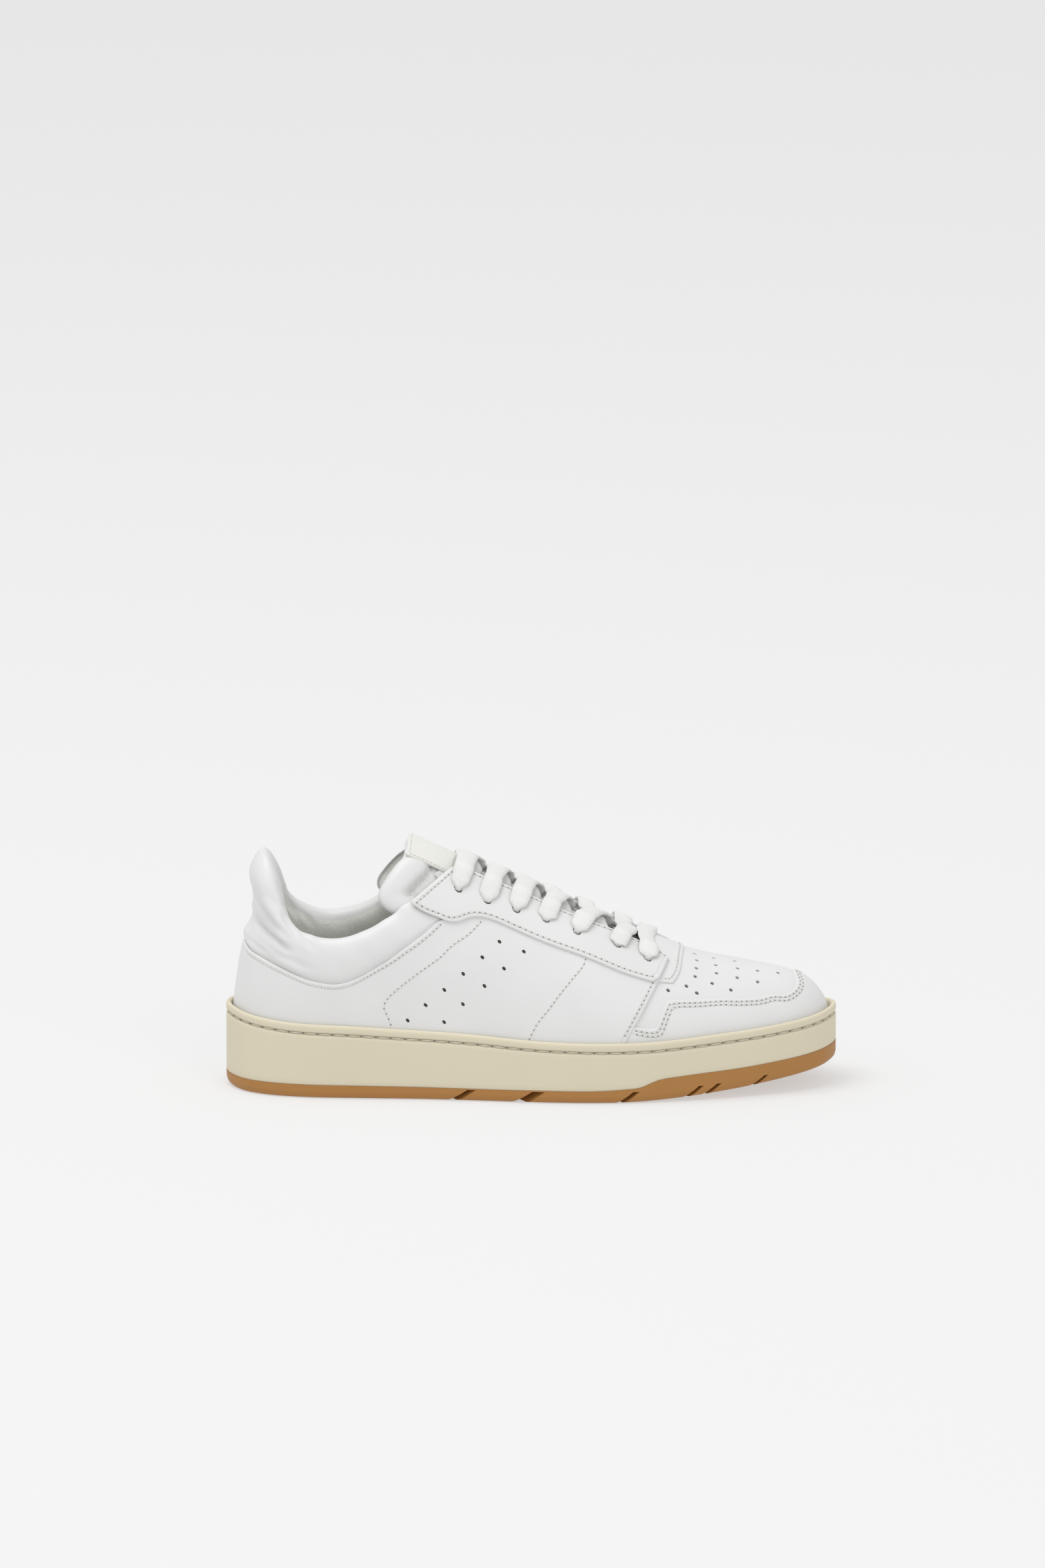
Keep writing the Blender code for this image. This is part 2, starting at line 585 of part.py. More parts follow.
# How a lace crosses the throat: (t, whether before the ridge, lift) from over one edge to under the other.
UPPER_RUN = ((0.625, 4.1), (0.69, 4.6), (0.75, 5.2), (0.81, 2.2), (0.875, 0.4), (0.94, -0.2), (1, -0.6), (0.94, -0.9),
             (0.875, -1.3), (0.81, -3.4), (0.77, LACE_UNDER), (0.69, LACE_UNDER), (0.625, LACE_UNDER))
LOWER_RUN = ((0.625, 4.1), (0.69, 4.6), (0.75, 5.2), (0.81, 1.4), (0.86, -2.2), (0.94, -2.7), (1, -2.8), (0.94, -3.1),
             (0.875, -3.5), (0.81, -4.1), (0.77, LACE_UNDER), (0.69, LACE_UNDER), (0.625, LACE_UNDER))
HIDDEN_RUN = ((0.625, LACE_UNDER), (0.69, LACE_UNDER), (0.77, LACE_UNDER), (0.81, -4.1), (0.875, -2.9), (0.94, -2.5),
              (1, -2.4), (0.94, -2.5), (0.875, -2.9), (0.81, -4.1), (0.77, LACE_UNDER), (0.69, LACE_UNDER),
              (0.625, LACE_UNDER))
BAR = ((0.625, 4.1), (0.69, 4.6), (0.75, 5.2), (0.81, 3.0), (0.875, 1.6), (0.94, 1.2), (1, 1.0), (0.94, 1.2),
       (0.875, 1.6), (0.81, 3.0), (0.75, 5.2), (0.69, 4.6), (0.625, 4.1))
FLAT_RUN = tuple((t, LACE_UNDER) for t, _ in HIDDEN_RUN)


def lace_through(hole, side):
    """Stops up through an eyelet: (g, t, lift, width, thickness)."""
    g, t = hole
    return [(side * g, t, LACE_UNDER, 4.2, LACE_THICK), (side * g, t, -2.6, 3.4, 1.8), (side * g, t, 2.4, 3.4, 1.8),
            (side * g, t, LACE_OVER, 4.2, LACE_THICK)]


def lace_across(start, end, side, run):
    """Stops from one eyelet over the ridge to one on the other side."""
    stops = []
    half = len(run) // 2
    first, second = start[1], end[1]
    for k, (t, lift) in enumerate(run):
        share_done = ((t - first) if k <= half else (1 - first) + (1 - t)) / (2 - first - second)
        here = side if k <= half else -side
        stops.append((here * (start[0] + (end[0] - start[0]) * share_done), t, lift, LACE_WIDTH, LACE_THICK))
    return stops


def lace_path():
    """Stops along the whole lace, from the tucked end on one side to that on the other."""
    holes = [place(s, z) for s, z in reversed(EYELETS)]
    climbs = []
    for side in (1, -1):
        here, stops = -side, lace_across(holes[0], holes[1], side, HIDDEN_RUN if side > 0 else FLAT_RUN)
        for k in range(1, len(holes)):
            stops += lace_through(holes[k], here)
            end = holes[k + 1] if k + 1 < len(holes) else (holes[k][0] - 0.014, holes[k][1])
            stops += lace_across(holes[k], end, here, UPPER_RUN if here > 0 else LOWER_RUN)
            here = -here
        climbs.append(stops)
    bar = lace_through(holes[0], 1) + lace_across(holes[0], holes[0], 1, BAR) + lace_through(holes[0], -1)[::-1]
    return climbs[0][::-1] + bar + climbs[1]


def make_lace():
    path = lace_path()
    centres = [on_grid(g * COLUMNS, t * ROWS, lift) for g, t, lift, _, _ in path]
    sections = []
    for k, (g, t, lift, width, thick) in enumerate(path):
        before, after = centres[max(k - 1, 0)], centres[min(k + 1, len(centres) - 1)]
        along = after - before
        along /= np.linalg.norm(along)
        ahead = foot(abs(g) + 0.01, t) - foot(abs(g) - 0.01, t)
        if g < 0:
            ahead = foot(g - 0.01, t) - foot(g + 0.01, t)
        across = ahead - along * ahead.dot(along)
        across /= np.linalg.norm(across)
        up = np.cross(along, across)
        w, h = across * width / 2, up * thick / 2
        c = centres[k]
        sections.append([c - w - h, c + w - h, c + w + h, c - w + h])
    tube("lace", sections, CLOTH)


def main():
    for item in list(bpy.data.objects):
        bpy.data.objects.remove(item)
    make_sole()
    make_upper()
    make_collar()
    make_tongue()
    make_lace()


main()
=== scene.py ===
"""A court shoe's finished surfaces, built round its engineering model."""

import math

import bmesh
import bpy
import numpy as np
from mathutils import Matrix, Vector, kdtree


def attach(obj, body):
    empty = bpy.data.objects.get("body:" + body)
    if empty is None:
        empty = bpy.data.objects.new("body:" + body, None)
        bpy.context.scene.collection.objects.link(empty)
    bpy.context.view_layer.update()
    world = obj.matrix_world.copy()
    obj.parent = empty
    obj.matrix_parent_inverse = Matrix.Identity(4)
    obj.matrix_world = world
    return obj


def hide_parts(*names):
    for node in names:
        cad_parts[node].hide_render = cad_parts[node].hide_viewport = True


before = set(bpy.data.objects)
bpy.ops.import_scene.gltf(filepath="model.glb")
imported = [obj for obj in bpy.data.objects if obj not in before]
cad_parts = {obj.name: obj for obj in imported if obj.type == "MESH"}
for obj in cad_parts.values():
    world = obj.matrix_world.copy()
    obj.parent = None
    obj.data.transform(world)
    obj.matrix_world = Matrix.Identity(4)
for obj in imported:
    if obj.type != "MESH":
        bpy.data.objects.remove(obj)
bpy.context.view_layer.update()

bl_info = {
    "name": "Court Shoe",
    "version": (1, 0, 0),
    "blender": (4, 5, 0),
    "location": "View3D > Sidebar > Court Shoe",
    "description": "Makes a low leather court shoe on a cupsole",
    "category": "Object",
}

MM = 0.001
LENGTH = 300.0
UPPER_INSET = 3.7

# Lifts of each layer's two faces over the foot shape, in millimetres.
VAMP = (-1.2, 0.0)
UNDERLAY = (-0.1, 0.95)
PANEL = (0.05, 1.4)
OVERLAY = (1.42, 2.9)
BACKING = (-1.2, -0.05)
LINING = (-3.4, -2.4)
STIFFENER = (-2.3, -1.3)
TONGUE = -5.4

SEAM, SECOND_SEAM = 1.9, 3.6  # stitch rows' distances from a panel's edge
STITCH_PROUD = 0.03
EYELET_RADIUS = 1.9
SMOOTH = 180.0  # sharpness angle that leaves no hard edge


# ---------------------------------------------------------------- the foot shape


def curve(*knots):
    """A smooth function through (x, y) knots that stays level beyond its ends."""
    x, y = np.array(knots, float).T
    slope = np.gradient(y, x)

    def at(value):
        v = np.clip(value, x[0], x[-1])
        i = np.clip(np.searchsorted(x, v) - 1, 0, len(x) - 2)
        span = x[i + 1] - x[i]
        u = (v - x[i]) / span
        start = (1 + 2 * u) * (1 - u) ** 2 * y[i] + u * (1 - u) ** 2 * span * slope[i]
        return start + u * u * (3 - 2 * u) * y[i + 1] + u * u * (u - 1) * span * slope[i + 1]

    return at


def station(p):
    return LENGTH / 2 * (1 - np.cos(np.pi * p))


def share(s):
    return np.arccos(np.clip(1 - 2 * np.asarray(s, float) / LENGTH, -1, 1)) / np.pi


def edge(*knots):
    return curve(*((float(share(s)), y) for s, y in knots))


LATERAL_EDGE = edge(
    (0, 0), (3, -13.5), (10, -24.3), (22, -32.3), (40, -37.5), (70, -40), (100, -42), (130, -46),
    (160, -50), (180, -51), (200, -49.5), (225, -44.5), (250, -37), (270, -29), (285, -21), (294, -12),
    (298, -4), (300, 6),
)
MEDIAL_EDGE = edge(
    (0, 0), (3, 13.5), (10, 24.3), (22, 32.3), (40, 37.5), (60, 38.5), (90, 37), (120, 37.5), (150, 40.5),
    (180, 46), (205, 50), (225, 51), (250, 47.5), (270, 40.5), (285, 32), (294, 23), (298, 16), (300, 6),
)
SPLIT = curve(
    (0, 6.8), (60, 6.6), (150, 6.2), (195, 6.9), (203, 7.6), (212, 11), (225, 12.6), (255, 14.9),
    (285, 18.3), (300, 20.5),
)
FOOT_LEVEL = curve(
    (0, 18), (100, 16), (180, 14), (200, 14.6), (212, 16), (225, 17.4), (255, 19.8), (285, 23.5), (300, 26),
)
RIM = curve(
    (0, 41.5), (15, 39), (30, 37.5), (60, 36.3), (90, 34.8), (120, 33.3), (150, 31), (180, 30), (210, 30.2),
    (240, 32.3), (270, 34.8), (290, 37.5), (300, 39.5),
)
RIDGE = curve(
    (0, 131), (60, 131), (80, 131), (97, 124.5), (113, 117), (155, 98), (185, 84), (212, 70.5), (230, 64.5),
    (250, 60.5), (262, 58.5), (280, 56.5), (300, 54.5),
)
RIDGE_Y = curve((0, 0), (70, 0), (120, 3), (180, 5), (250, 5), (300, 6))
ROUNDNESS = curve((0, 1.85), (60, 1.9), (110, 2), (180, 2.1), (230, 2.4), (300, 2.6))
RIDGE_STATION = curve((0, 48), (40, 58), (75, 76), (110, 110), (200, 200), (240, 233), (270, 252), (300, 263))


def ground(s):
    s = np.asarray(s, float)
    heel = np.clip((8.0 - s) / 8.0, 0, 1)
    toe = np.clip((s - 190.0) / (LENGTH - 190.0), 0, 1)
    return 0.8 * heel**2 + 11.8 * toe**1.7


def outline(g, inset=0.0):
    """(s, y) on the sole's outline, moved inwards by inset."""
    g = np.asarray(g, float)
    g = np.where(g > 1, g - 2, np.where(g < -1, g + 2, g))
    lateral, p = g >= 0, np.abs(g)

    def at(q):
        return np.array([station(q), np.where(lateral, LATERAL_EDGE(q), MEDIAL_EDGE(q))])

    step = 1e-4
    along = at(np.clip(p + step, 0, 1)) - at(np.clip(p - step, 0, 1))
    end = (p < step) | (p > 1 - step)
    along[1] = np.where(end, np.where(lateral, -1, 1) * np.where(p < 0.5, 1, -1), along[1])
    along[0] = np.where(end, 0, along[0])
    out = np.where(lateral, 1, -1) * np.array([along[1], -along[0]]) / np.hypot(*along)
    s, y = at(p)
    return s - inset * out[0], y - inset * out[1]


def foot(g, t):
    """(s, y, z) on the foot shape: g goes round it from the heel, t from the sole to the ridge."""
    g, t = np.broadcast_arrays(np.asarray(g, float), np.asarray(t, float))
    g, t = np.where(t > 1, -g, g), np.where(t > 1, 2 - t, t)
    edge_s, edge_y = outline(g, UPPER_INSET)
    around = np.where(g > 1, 2 - g, np.where(g < -1, 2 + g, np.abs(g)))
    ridge_s = RIDGE_STATION(station(around))
    power = 2 / ROUNDNESS(ridge_s)
    angle = np.clip(t, 0, 1) * np.pi / 2
    reach, rise = np.cos(angle) ** power, np.sin(angle) ** power
    s = ridge_s + (edge_s - ridge_s) * reach
    y = RIDGE_Y(ridge_s) + (edge_y - RIDGE_Y(ridge_s)) * reach
    level = FOOT_LEVEL(edge_s)
    return np.stack([s, y, level + (RIDGE(s) - level) * rise], axis=-1)


def outwards(g, t):
    g, t = np.broadcast_arrays(np.asarray(g, float), np.asarray(t, float))
    step = 4e-3
    point, middle_t = foot(g, t), np.clip(t, step, 2 - step)
    normal = np.cross(foot(g + step, t) - foot(g - step, t), foot(g, middle_t + step) - foot(g, middle_t - step))
    size = np.linalg.norm(normal, axis=-1, keepdims=True)
    normal = np.where(size > 1e-9, normal / np.maximum(size, 1e-9), [0.0, 0.0, 1.0])
    middle = np.stack([np.clip(point[..., 0], 45, 262), RIDGE_Y(point[..., 0]), 0 * point[..., 0] + 35], axis=-1)
    facing = np.sum(normal * (point - middle), axis=-1, keepdims=True)
    return np.where(facing < 0, -normal, normal)


# The upper laid flat: each section of the foot shape is unrolled outwards from the ridge, so lengths stay true.
FLAT_G = np.linspace(-1.25, 1.25, 751)
FLAT_T = np.linspace(0.0, 1.0, 121)
_grid = foot(FLAT_G[:, None], FLAT_T[None, :])
_steps = np.linalg.norm(np.diff(_grid, axis=1), axis=-1)
_run = np.concatenate([np.cumsum(_steps[:, ::-1], axis=1)[:, ::-1], np.zeros((len(FLAT_G), 1))], axis=1)
_to_edge = _grid[:, 0, :2] - _grid[:, -1, :2]
_to_edge /= np.linalg.norm(_to_edge, axis=1, keepdims=True)
FLAT_XY = _grid[:, -1, None, :2] + _to_edge[:, None, :] * _run[..., None]
TREES = []
for _first, _last in ((75, 375), (375, 675)):
    _i, _j = (k.ravel() for k in np.meshgrid(np.arange(_first, _last + 1, 4), np.arange(0, 121, 4), indexing="ij"))
    _tree = kdtree.KDTree(len(_i))
    for _k in range(len(_i)):
        _tree.insert((*FLAT_XY[_i[_k], _j[_k]], 0), _k)
    _tree.balance()
    TREES.append((_tree, _i, _j))


def flat_at(a, b):
    """The flat position at table coordinates a, b, with its two derivatives."""
    i = np.clip(a.astype(int), 0, len(FLAT_G) - 2)
    j = np.clip(b.astype(int), 0, len(FLAT_T) - 2)
    u, v = (a - i)[:, None], (b - j)[:, None]
    p00, p10, p01, p11 = FLAT_XY[i, j], FLAT_XY[i + 1, j], FLAT_XY[i, j + 1], FLAT_XY[i + 1, j + 1]
    value = (p00 * (1 - u) + p10 * u) * (1 - v) + (p01 * (1 - u) + p11 * u) * v
    return value, (p10 - p00) * (1 - v) + (p11 - p01) * v, (p01 - p00) * (1 - u) + (p11 - p10) * u


def unflatten(xy):
    """(g, t) of flat positions, looked for on both sides of the ridge."""
    xy = np.asarray(xy, float).reshape(-1, 2)
    found = []
    for tree, i, j in TREES:
        near_by = [tree.find((x, y, 0))[1] for x, y in xy]
        a, b = i[near_by].astype(float), j[near_by].astype(float)
        for _ in range(14):
            value, da, db = flat_at(a, b)
            miss = xy - value
            det = da[:, 0] * db[:, 1] - da[:, 1] * db[:, 0]
            det = np.where(np.abs(det) < 1e-9, 1e-9, det)
            move_a = (miss[:, 0] * db[:, 1] - miss[:, 1] * db[:, 0]) / det
            move_b = (da[:, 0] * miss[:, 1] - da[:, 1] * miss[:, 0]) / det
            a = np.clip(a + np.clip(move_a, -6, 6), 0, len(FLAT_G) - 1.001)
            b = np.clip(b + np.clip(move_b, -5, 5), 0, len(FLAT_T) - 1.001)
        found.append((a, b, np.linalg.norm(xy - flat_at(a, b)[0], axis=1)))
    (a, b, miss), (other_a, other_b, other_miss) = found
    a, b = np.where(miss <= other_miss, a, other_a), np.where(miss <= other_miss, b, other_b)
    spacing_g, spacing_t = FLAT_G[1] - FLAT_G[0], FLAT_T[1] - FLAT_T[0]
    return FLAT_G[0] + a * spacing_g, b * spacing_t


def flatten(g, t):
    a = (np.atleast_1d(np.asarray(g, float)) - FLAT_G[0]) / (FLAT_G[1] - FLAT_G[0])
    b = np.atleast_1d(np.asarray(t, float)) / (FLAT_T[1] - FLAT_T[0])
    return flat_at(np.clip(a, 0, len(FLAT_G) - 1.001), np.clip(b, 0, len(FLAT_T) - 1.001))[0]


def undulation(point):
    """A slight unevenness that leather keeps from its last, in millimetres."""
    s, y, z = point[..., 0], point[..., 1], point[..., 2]
    broad = 0.10 * np.sin(s / 13.0 + z / 9.0 + y / 17.0)
    return broad + 0.08 * np.sin(s / 7.3 - z / 11.0 + 1.7) * np.sin(z / 8.1 + s / 31.0)


def raised(xy, lift):
    """Points in millimetres over flat positions, and the outward normals there."""
    g, t = unflatten(xy)
    point, out = foot(g, t), outwards(g, t)
    return point + out * (np.asarray(lift, float) + undulation(point))[:, None], out


def rise_to(g, z):
    samples = np.linspace(0, 1, 201)
    heights = foot(np.full(201, g), samples)[:, 2]
    return float(np.interp(z, heights, samples))


def place(s, z):
    """(g, t) of the lateral point at s, z in side elevation."""
    low, high = 0.0, 1.0
    for _ in range(26):
        g = (low + high) / 2
        low, high = (g, high) if foot(g, rise_to(g, z))[0] < s else (low, g)
    return g, rise_to(g, z)


def on_ridge(s):
    low, high = 0.0, 1.0
    for _ in range(26):
        g = (low + high) / 2
        low, high = (g, high) if RIDGE_STATION(station(g)) < s else (low, g)
    return g, 1.0


def at_sole(s):
    return float(share(s)), 0.0


def side_line(*points):
    return [place(s, z) for s, z in points]


def mirror_pattern(sides):
    return [[(-g, t) for g, t in reversed(side)] for side in reversed(sides)]


def between(a, b, c, d, u):
    """The smooth line's point at share u of the way from b to c, where a comes before and d after."""
    return 0.5 * (2 * b + (c - a) * u + (2 * a - 5 * b + 4 * c - d) * u**2 + (3 * b - a - 3 * c + d) * u**3)


def open_spline(points, per):
    """A smooth line through points, with per steps between each two."""
    p = np.array(points, float)
    ends = np.concatenate([2 * p[:1] - p[1:2], p, 2 * p[-1:] - p[-2:-1]])
    rows = [between(*four, u) for four in zip(ends, ends[1:], ends[2:], ends[3:]) for u in np.arange(per) / per]
    return np.array([*rows, p[-1]])


def close_spline(points, per):
    """A closed smooth line through points, with per steps between each two."""
    p = np.array(points, float)
    four = np.roll(p, 1, axis=0), p, np.roll(p, -1, axis=0), np.roll(p, -2, axis=0)
    return np.stack([between(*four, u) for u in np.arange(per) / per], axis=1).reshape(-1, *p.shape[1:])


def spline(points, step=1.6):
    """A smooth line through flat points, as points about a step apart."""
    return resample(open_spline(points, 12) if len(points) > 2 else points, step)


def resample(points, step):
    """An open line's points, an even distance apart."""
    p = np.array(points, float)
    run = np.concatenate([[0], np.cumsum(np.linalg.norm(np.diff(p, axis=0), axis=1))])
    count = max(2, int(round(run[-1] / step)) + 1)
    at = np.linspace(0, run[-1], count)
    return np.stack([np.interp(at, run, p[:, k]) for k in range(p.shape[1])], axis=1)


def flat_line(pattern, step=1.6):
    return spline(flatten(*np.array(pattern).T), step)


def flat_loop(sides, step=1.6):
    """A closed outline in flat millimetres from sides in (g, t), its corners eased."""
    p = np.vstack([flat_line(side, step)[:-1] for side in sides])
    p = p[np.linalg.norm(np.roll(p, -1, axis=0) - p, axis=1) > 0.3]
    ahead = np.roll(p, -1, axis=0)
    p = np.stack([p * 0.75 + ahead * 0.25, p * 0.25 + ahead * 0.75], axis=1).reshape(-1, 2)
    turn = np.roll(p, -1, axis=0)
    if np.sum(p[:, 0] * turn[:, 1] - turn[:, 0] * p[:, 1]) < 0:
        p = p[::-1]
    return p


def distance_to(points, loop):
    """Each point's distance to a closed line."""
    a, b = loop, np.roll(loop, -1, axis=0)
    best = np.full(len(points), 1e9)
    for start in range(0, len(points), 4000):
        p = points[start : start + 4000, None, :]
        ab = (b - a)[None]
        u = np.clip(np.sum((p - a) * ab, axis=2) / np.maximum(np.sum(ab * ab, axis=2), 1e-9), 0, 1)
        best[start : start + 4000] = np.min(np.linalg.norm(p - a - ab * u[..., None], axis=2), axis=1)
    return best


# ---------------------------------------------------------------- meshes


# The record's material slot behind each finish.
SLOTS = {
    "leather": "white_leather", "soft leather": "white_leather", "cream": "cream_rubber", "gum": "gum_rubber",
    "thread": "thread", "sole thread": "thread", "needle hole painted shade": "thread", "lace": "lace_cotton",
    "lining": "lining_cloth", "sock": "sock_cloth", "label": "label_cloth", "board": "fibre_board",
}


def finish_mesh(bm, name, finish, body="shoe", nodes=None, slot=None, sharp=38.0):
    """An object from a bmesh in millimetres along s, y and z, in place of its namesake unless nodes says otherwise."""
    co = np.array([v.co for v in bm.verts])
    co[:, 0] -= LENGTH / 2
    for v, p in zip(bm.verts, co * MM):
        v.co = p
    bmesh.ops.recalc_face_normals(bm, faces=bm.faces)
    mesh = bpy.data.meshes.new("shoe_" + name)
    bm.to_mesh(mesh)
    bm.free()
    mesh.shade_smooth()
    mesh.set_sharp_from_angle(angle=math.radians(sharp))
    item = bpy.data.objects.new("shoe_" + name, mesh)
    bpy.context.scene.collection.objects.link(item)
    mesh.materials.append(FINISHES[finish])
    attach(item, body)
    nodes = (name,) if nodes is None else nodes
    if nodes:
        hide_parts(*nodes)
    slot = slot or SLOTS.get(finish)
    return item


def flat_sheet(loop, rings, cell):
    """A flat sheet with rings at distances from its edge and a grid inside them."""
    bm = bmesh.new()
    face = bm.faces.new([bm.verts.new((x, y, 0)) for x, y in loop])
    if face.normal.z < 0:
        face.normal_flip()
    for thickness in np.diff([0.0, *rings]):
        bmesh.ops.inset_region(bm, faces=[face], thickness=thickness, use_boundary=True, use_even_offset=True)
    geom = [face, *face.edges, *face.verts]
    for low, high, along in zip(loop.min(axis=0), loop.max(axis=0), (Vector((1, 0, 0)), Vector((0, 1, 0)))):
        for value in np.arange((math.floor(low / cell) + 1) * cell, high, cell):
            cut = bmesh.ops.bisect_plane(bm, geom=geom, dist=1e-4, plane_co=along * value, plane_no=along)
            geom = cut["geom"]
    return bm


def thicken(bm):
    """Extrudes flat faces, and gives the vertices, their flat positions and which of them are on top."""
    made = bmesh.ops.extrude_face_region(bm, geom=bm.faces[:])["geom"]
    top = {v for v in made if isinstance(v, bmesh.types.BMVert)}
    verts = list(bm.verts)
    return verts, np.array([v.co[:2] for v in verts]), np.array([v in top for v in verts])


# (distance from a panel's edge, drop) of its rounded edge.
EDGE_PROFILE = ((0, -0.55), (0.12, -0.28), (0.3, -0.1), (0.6, 0))


def panel(name, loop, lifts, finish, holes=(), cell=2.6, rows=1, **more):
    """A piece of leather or cloth cut to a flat outline, with rounded edges, laid on the foot shape."""
    inner, outer = lifts
    distances, drops = np.array(EDGE_PROFILE).T
    bm = flat_sheet(loop, distances[1:], cell)
    for layer in ("from_edge", "rows"):
        bm.verts.layers.float.new(layer)
    for hole in holes:
        punch(bm, *hole)
    verts, xy, is_top = thicken(bm)
    from_edge = distance_to(xy, loop)
    points, _ = raised(xy, np.where(is_top, outer + np.interp(from_edge, distances, drops), inner))
    seam, double = bm.verts.layers.float["from_edge"], bm.verts.layers.float["rows"]
    for v, p, d in zip(verts, points, from_edge):
        v.co = p
        v[seam], v[double] = min(d, 12.0), rows
    return finish_mesh(bm, name, finish, **more)


def punch(bm, x, y, radius, sides=8):
    """Cuts a round hole through flat faces."""
    reach, middle = radius * 1.05, Vector((x, y))

    def overlaps(face):
        spots = [v.co.xy - middle for v in face.verts]
        return min(q.length for q in spots) < reach + 4.5 and all(
            min(q[axis] for q in spots) < reach and max(q[axis] for q in spots) > -reach for axis in (0, 1))

    faces = [f for f in bm.faces if overlaps(f)]
    geom = list({e for f in faces for e in f.edges} | {v for f in faces for v in f.verts}) + faces
    for k in range(sides):
        turn = 2 * math.pi * (k + 0.5) / sides
        n = (math.cos(turn), math.sin(turn), 0)
        geom = bmesh.ops.bisect_plane(
            bm, geom=geom, dist=1e-5, plane_co=(x + n[0] * radius, y + n[1] * radius, 0), plane_no=n)["geom"]
    gone = [g for g in geom if isinstance(g, bmesh.types.BMFace)
            and (g.calc_center_median().xy - middle).length < radius * 0.98]
    bmesh.ops.delete(bm, geom=gone, context="FACES")


def draw_out(sections, closed=False):
    """A bmesh drawn out from one section to the next, with its ends joined or capped."""
    bm = bmesh.new()
    first = [bm.verts.new(q) for q in sections[0]]
    start = edges = [bm.edges.new((a, b)) for a, b in zip(first, first[1:] + first[:1])]
    for section in sections[1:]:
        made = bmesh.ops.extrude_edge_only(bm, edges=edges)["geom"]
        verts = [q for q in made if isinstance(q, bmesh.types.BMVert)]
        new = set(verts)
        edges = [q for q in made if isinstance(q, bmesh.types.BMEdge) and new.issuperset(q.verts)]
        for v, q in zip(verts, section):
            v.co = q
    if closed:
        bmesh.ops.bridge_loops(bm, edges=start + edges)
    else:
        bmesh.ops.holes_fill(bm, edges=start)
        bmesh.ops.holes_fill(bm, edges=edges)
    return bm


def round_sole(count):
    """Even values of g all the way round the sole."""
    g = np.linspace(0, 2, count, endpoint=False)
    return np.where(g > 1, g - 2, g)


def ring_levels(levels, name, finish, closed=False, **more):
    """A body of rings (inset from the sole's outline, height line, rise over it) drawn out one after another."""
    sections = []
    for inset, height, more_height in levels:
        s, y = outline(round_sole(420), inset)
        sections.append(np.stack([s, y, height(s) + more_height], axis=1))
    return finish_mesh(draw_out(sections, closed), name, finish, **more)


# ---------------------------------------------------------------- finishes


class Value:
    """A shader socket that Python's operators add Math nodes to."""

    def __init__(self, finish, socket):
        self.finish, self.socket = finish, socket

    def math(self, operation, *others):
        return self.finish.node("ShaderNodeMath", {"operation": operation}, *(self, *others))

    def __add__(self, other):
        return self.math("ADD", other)

    def __sub__(self, other):
        return self.math("SUBTRACT", other)

    def __rsub__(self, other):
        return self.finish.node("ShaderNodeMath", {"operation": "SUBTRACT"}, other, self)

    def __mul__(self, other):
        return self.math("MULTIPLY", other)

    __radd__, __rmul__ = __add__, __mul__


class Finish:
    """A material and the one method that adds its nodes."""

    def __init__(self, name, roughness=0.5, **constants):
        self.material = bpy.data.materials.new(name)
        self.material.use_nodes = True
        self.tree = self.material.node_tree
        self.shader = self.tree.nodes["Principled BSDF"]
        self.shader.inputs["Roughness"].default_value = roughness
        for socket, value in constants.items():
            self.shader.inputs[socket.replace("_", " ")].default_value = value

    def node(self, kind, settings=None, *values, output=0, **named):
        made = self.tree.nodes.new(kind)
        for key, value in (settings or {}).items():
            setattr(made, key, value)
        for key, value in [*enumerate(values), *((k.replace("_", " "), v) for k, v in named.items())]:
            if isinstance(value, Value):
                self.tree.links.new(value.socket, made.inputs[key])
            else:
                made.inputs[key].default_value = value
        return Value(self, made.outputs[output])

    def place(self):
        return self.node("ShaderNodeTexCoord", output="Object")

    def mix(self, factor, first, second):
        made = self.tree.nodes.new("ShaderNodeMix")
        made.data_type = "RGBA"
        self.tree.links.new(factor.socket, made.inputs[0])
        made.inputs[6].default_value, made.inputs[7].default_value = first, second
        return Value(self, made.outputs[2])

    def feed(self, socket, value):
        self.tree.links.new(value.socket, self.shader.inputs[socket])

    def bump(self, height, millimetres, strength=1.0):
        made = self.node("ShaderNodeBump", None, Strength=strength, Distance=millimetres * MM, Height=height)
        self.feed("Normal", made)


def rgb(colour, share=1.0):
    return (*(c * share for c in colour[:3]), 1.0)


def noise(finish, where, scale, detail=2.0, roughness=0.5):
    return finish.node("ShaderNodeTexNoise", None, Vector=where, Scale=scale, Detail=detail, Roughness=roughness)


def cells(finish, where, scale):
    return finish.node("ShaderNodeTexVoronoi", {"feature": "F1"}, Vector=where, Scale=scale)


def leather(name, colour, grain=1.0, roughness=0.42):
    """Corrected-grain leather: a fine pebble, faint creases and a slight mottle."""
    f = Finish(name, roughness, Specular_IOR_Level=0.42)
    where = f.place()
    pebble = cells(f, where, 1050.0)
    pores = noise(f, where, 2300.0, 3.0)
    cloudy = noise(f, where, 38.0, 3.0)
    from_edge = f.node("ShaderNodeAttribute", {"attribute_name": "from_edge"}, output="Fac")
    rows = f.node("ShaderNodeAttribute", {"attribute_name": "rows"}, output="Fac")
    first, second = (1.0 - ((from_edge - at) * 1.6).math("ABSOLUTE").math("MINIMUM", 1.0) for at in (SEAM, SECOND_SEAM))
    groove = (first * rows.math("MINIMUM", 1.0)).math("MAXIMUM", second * (rows - 1.0).math("MAXIMUM", 0.0))
    f.feed("Base Color", f.mix(cloudy, rgb(colour, 0.955), rgb(colour, 1.02)))
    f.feed("Roughness", cloudy * 0.12 + pores * 0.10 + (roughness - 0.11))
    f.bump(pebble * 0.75 + pores * 0.45 + noise(f, where, 130.0, 2.0) * 1.3 - groove * 6.0, 0.055 * grain, 0.65)
    return f.material


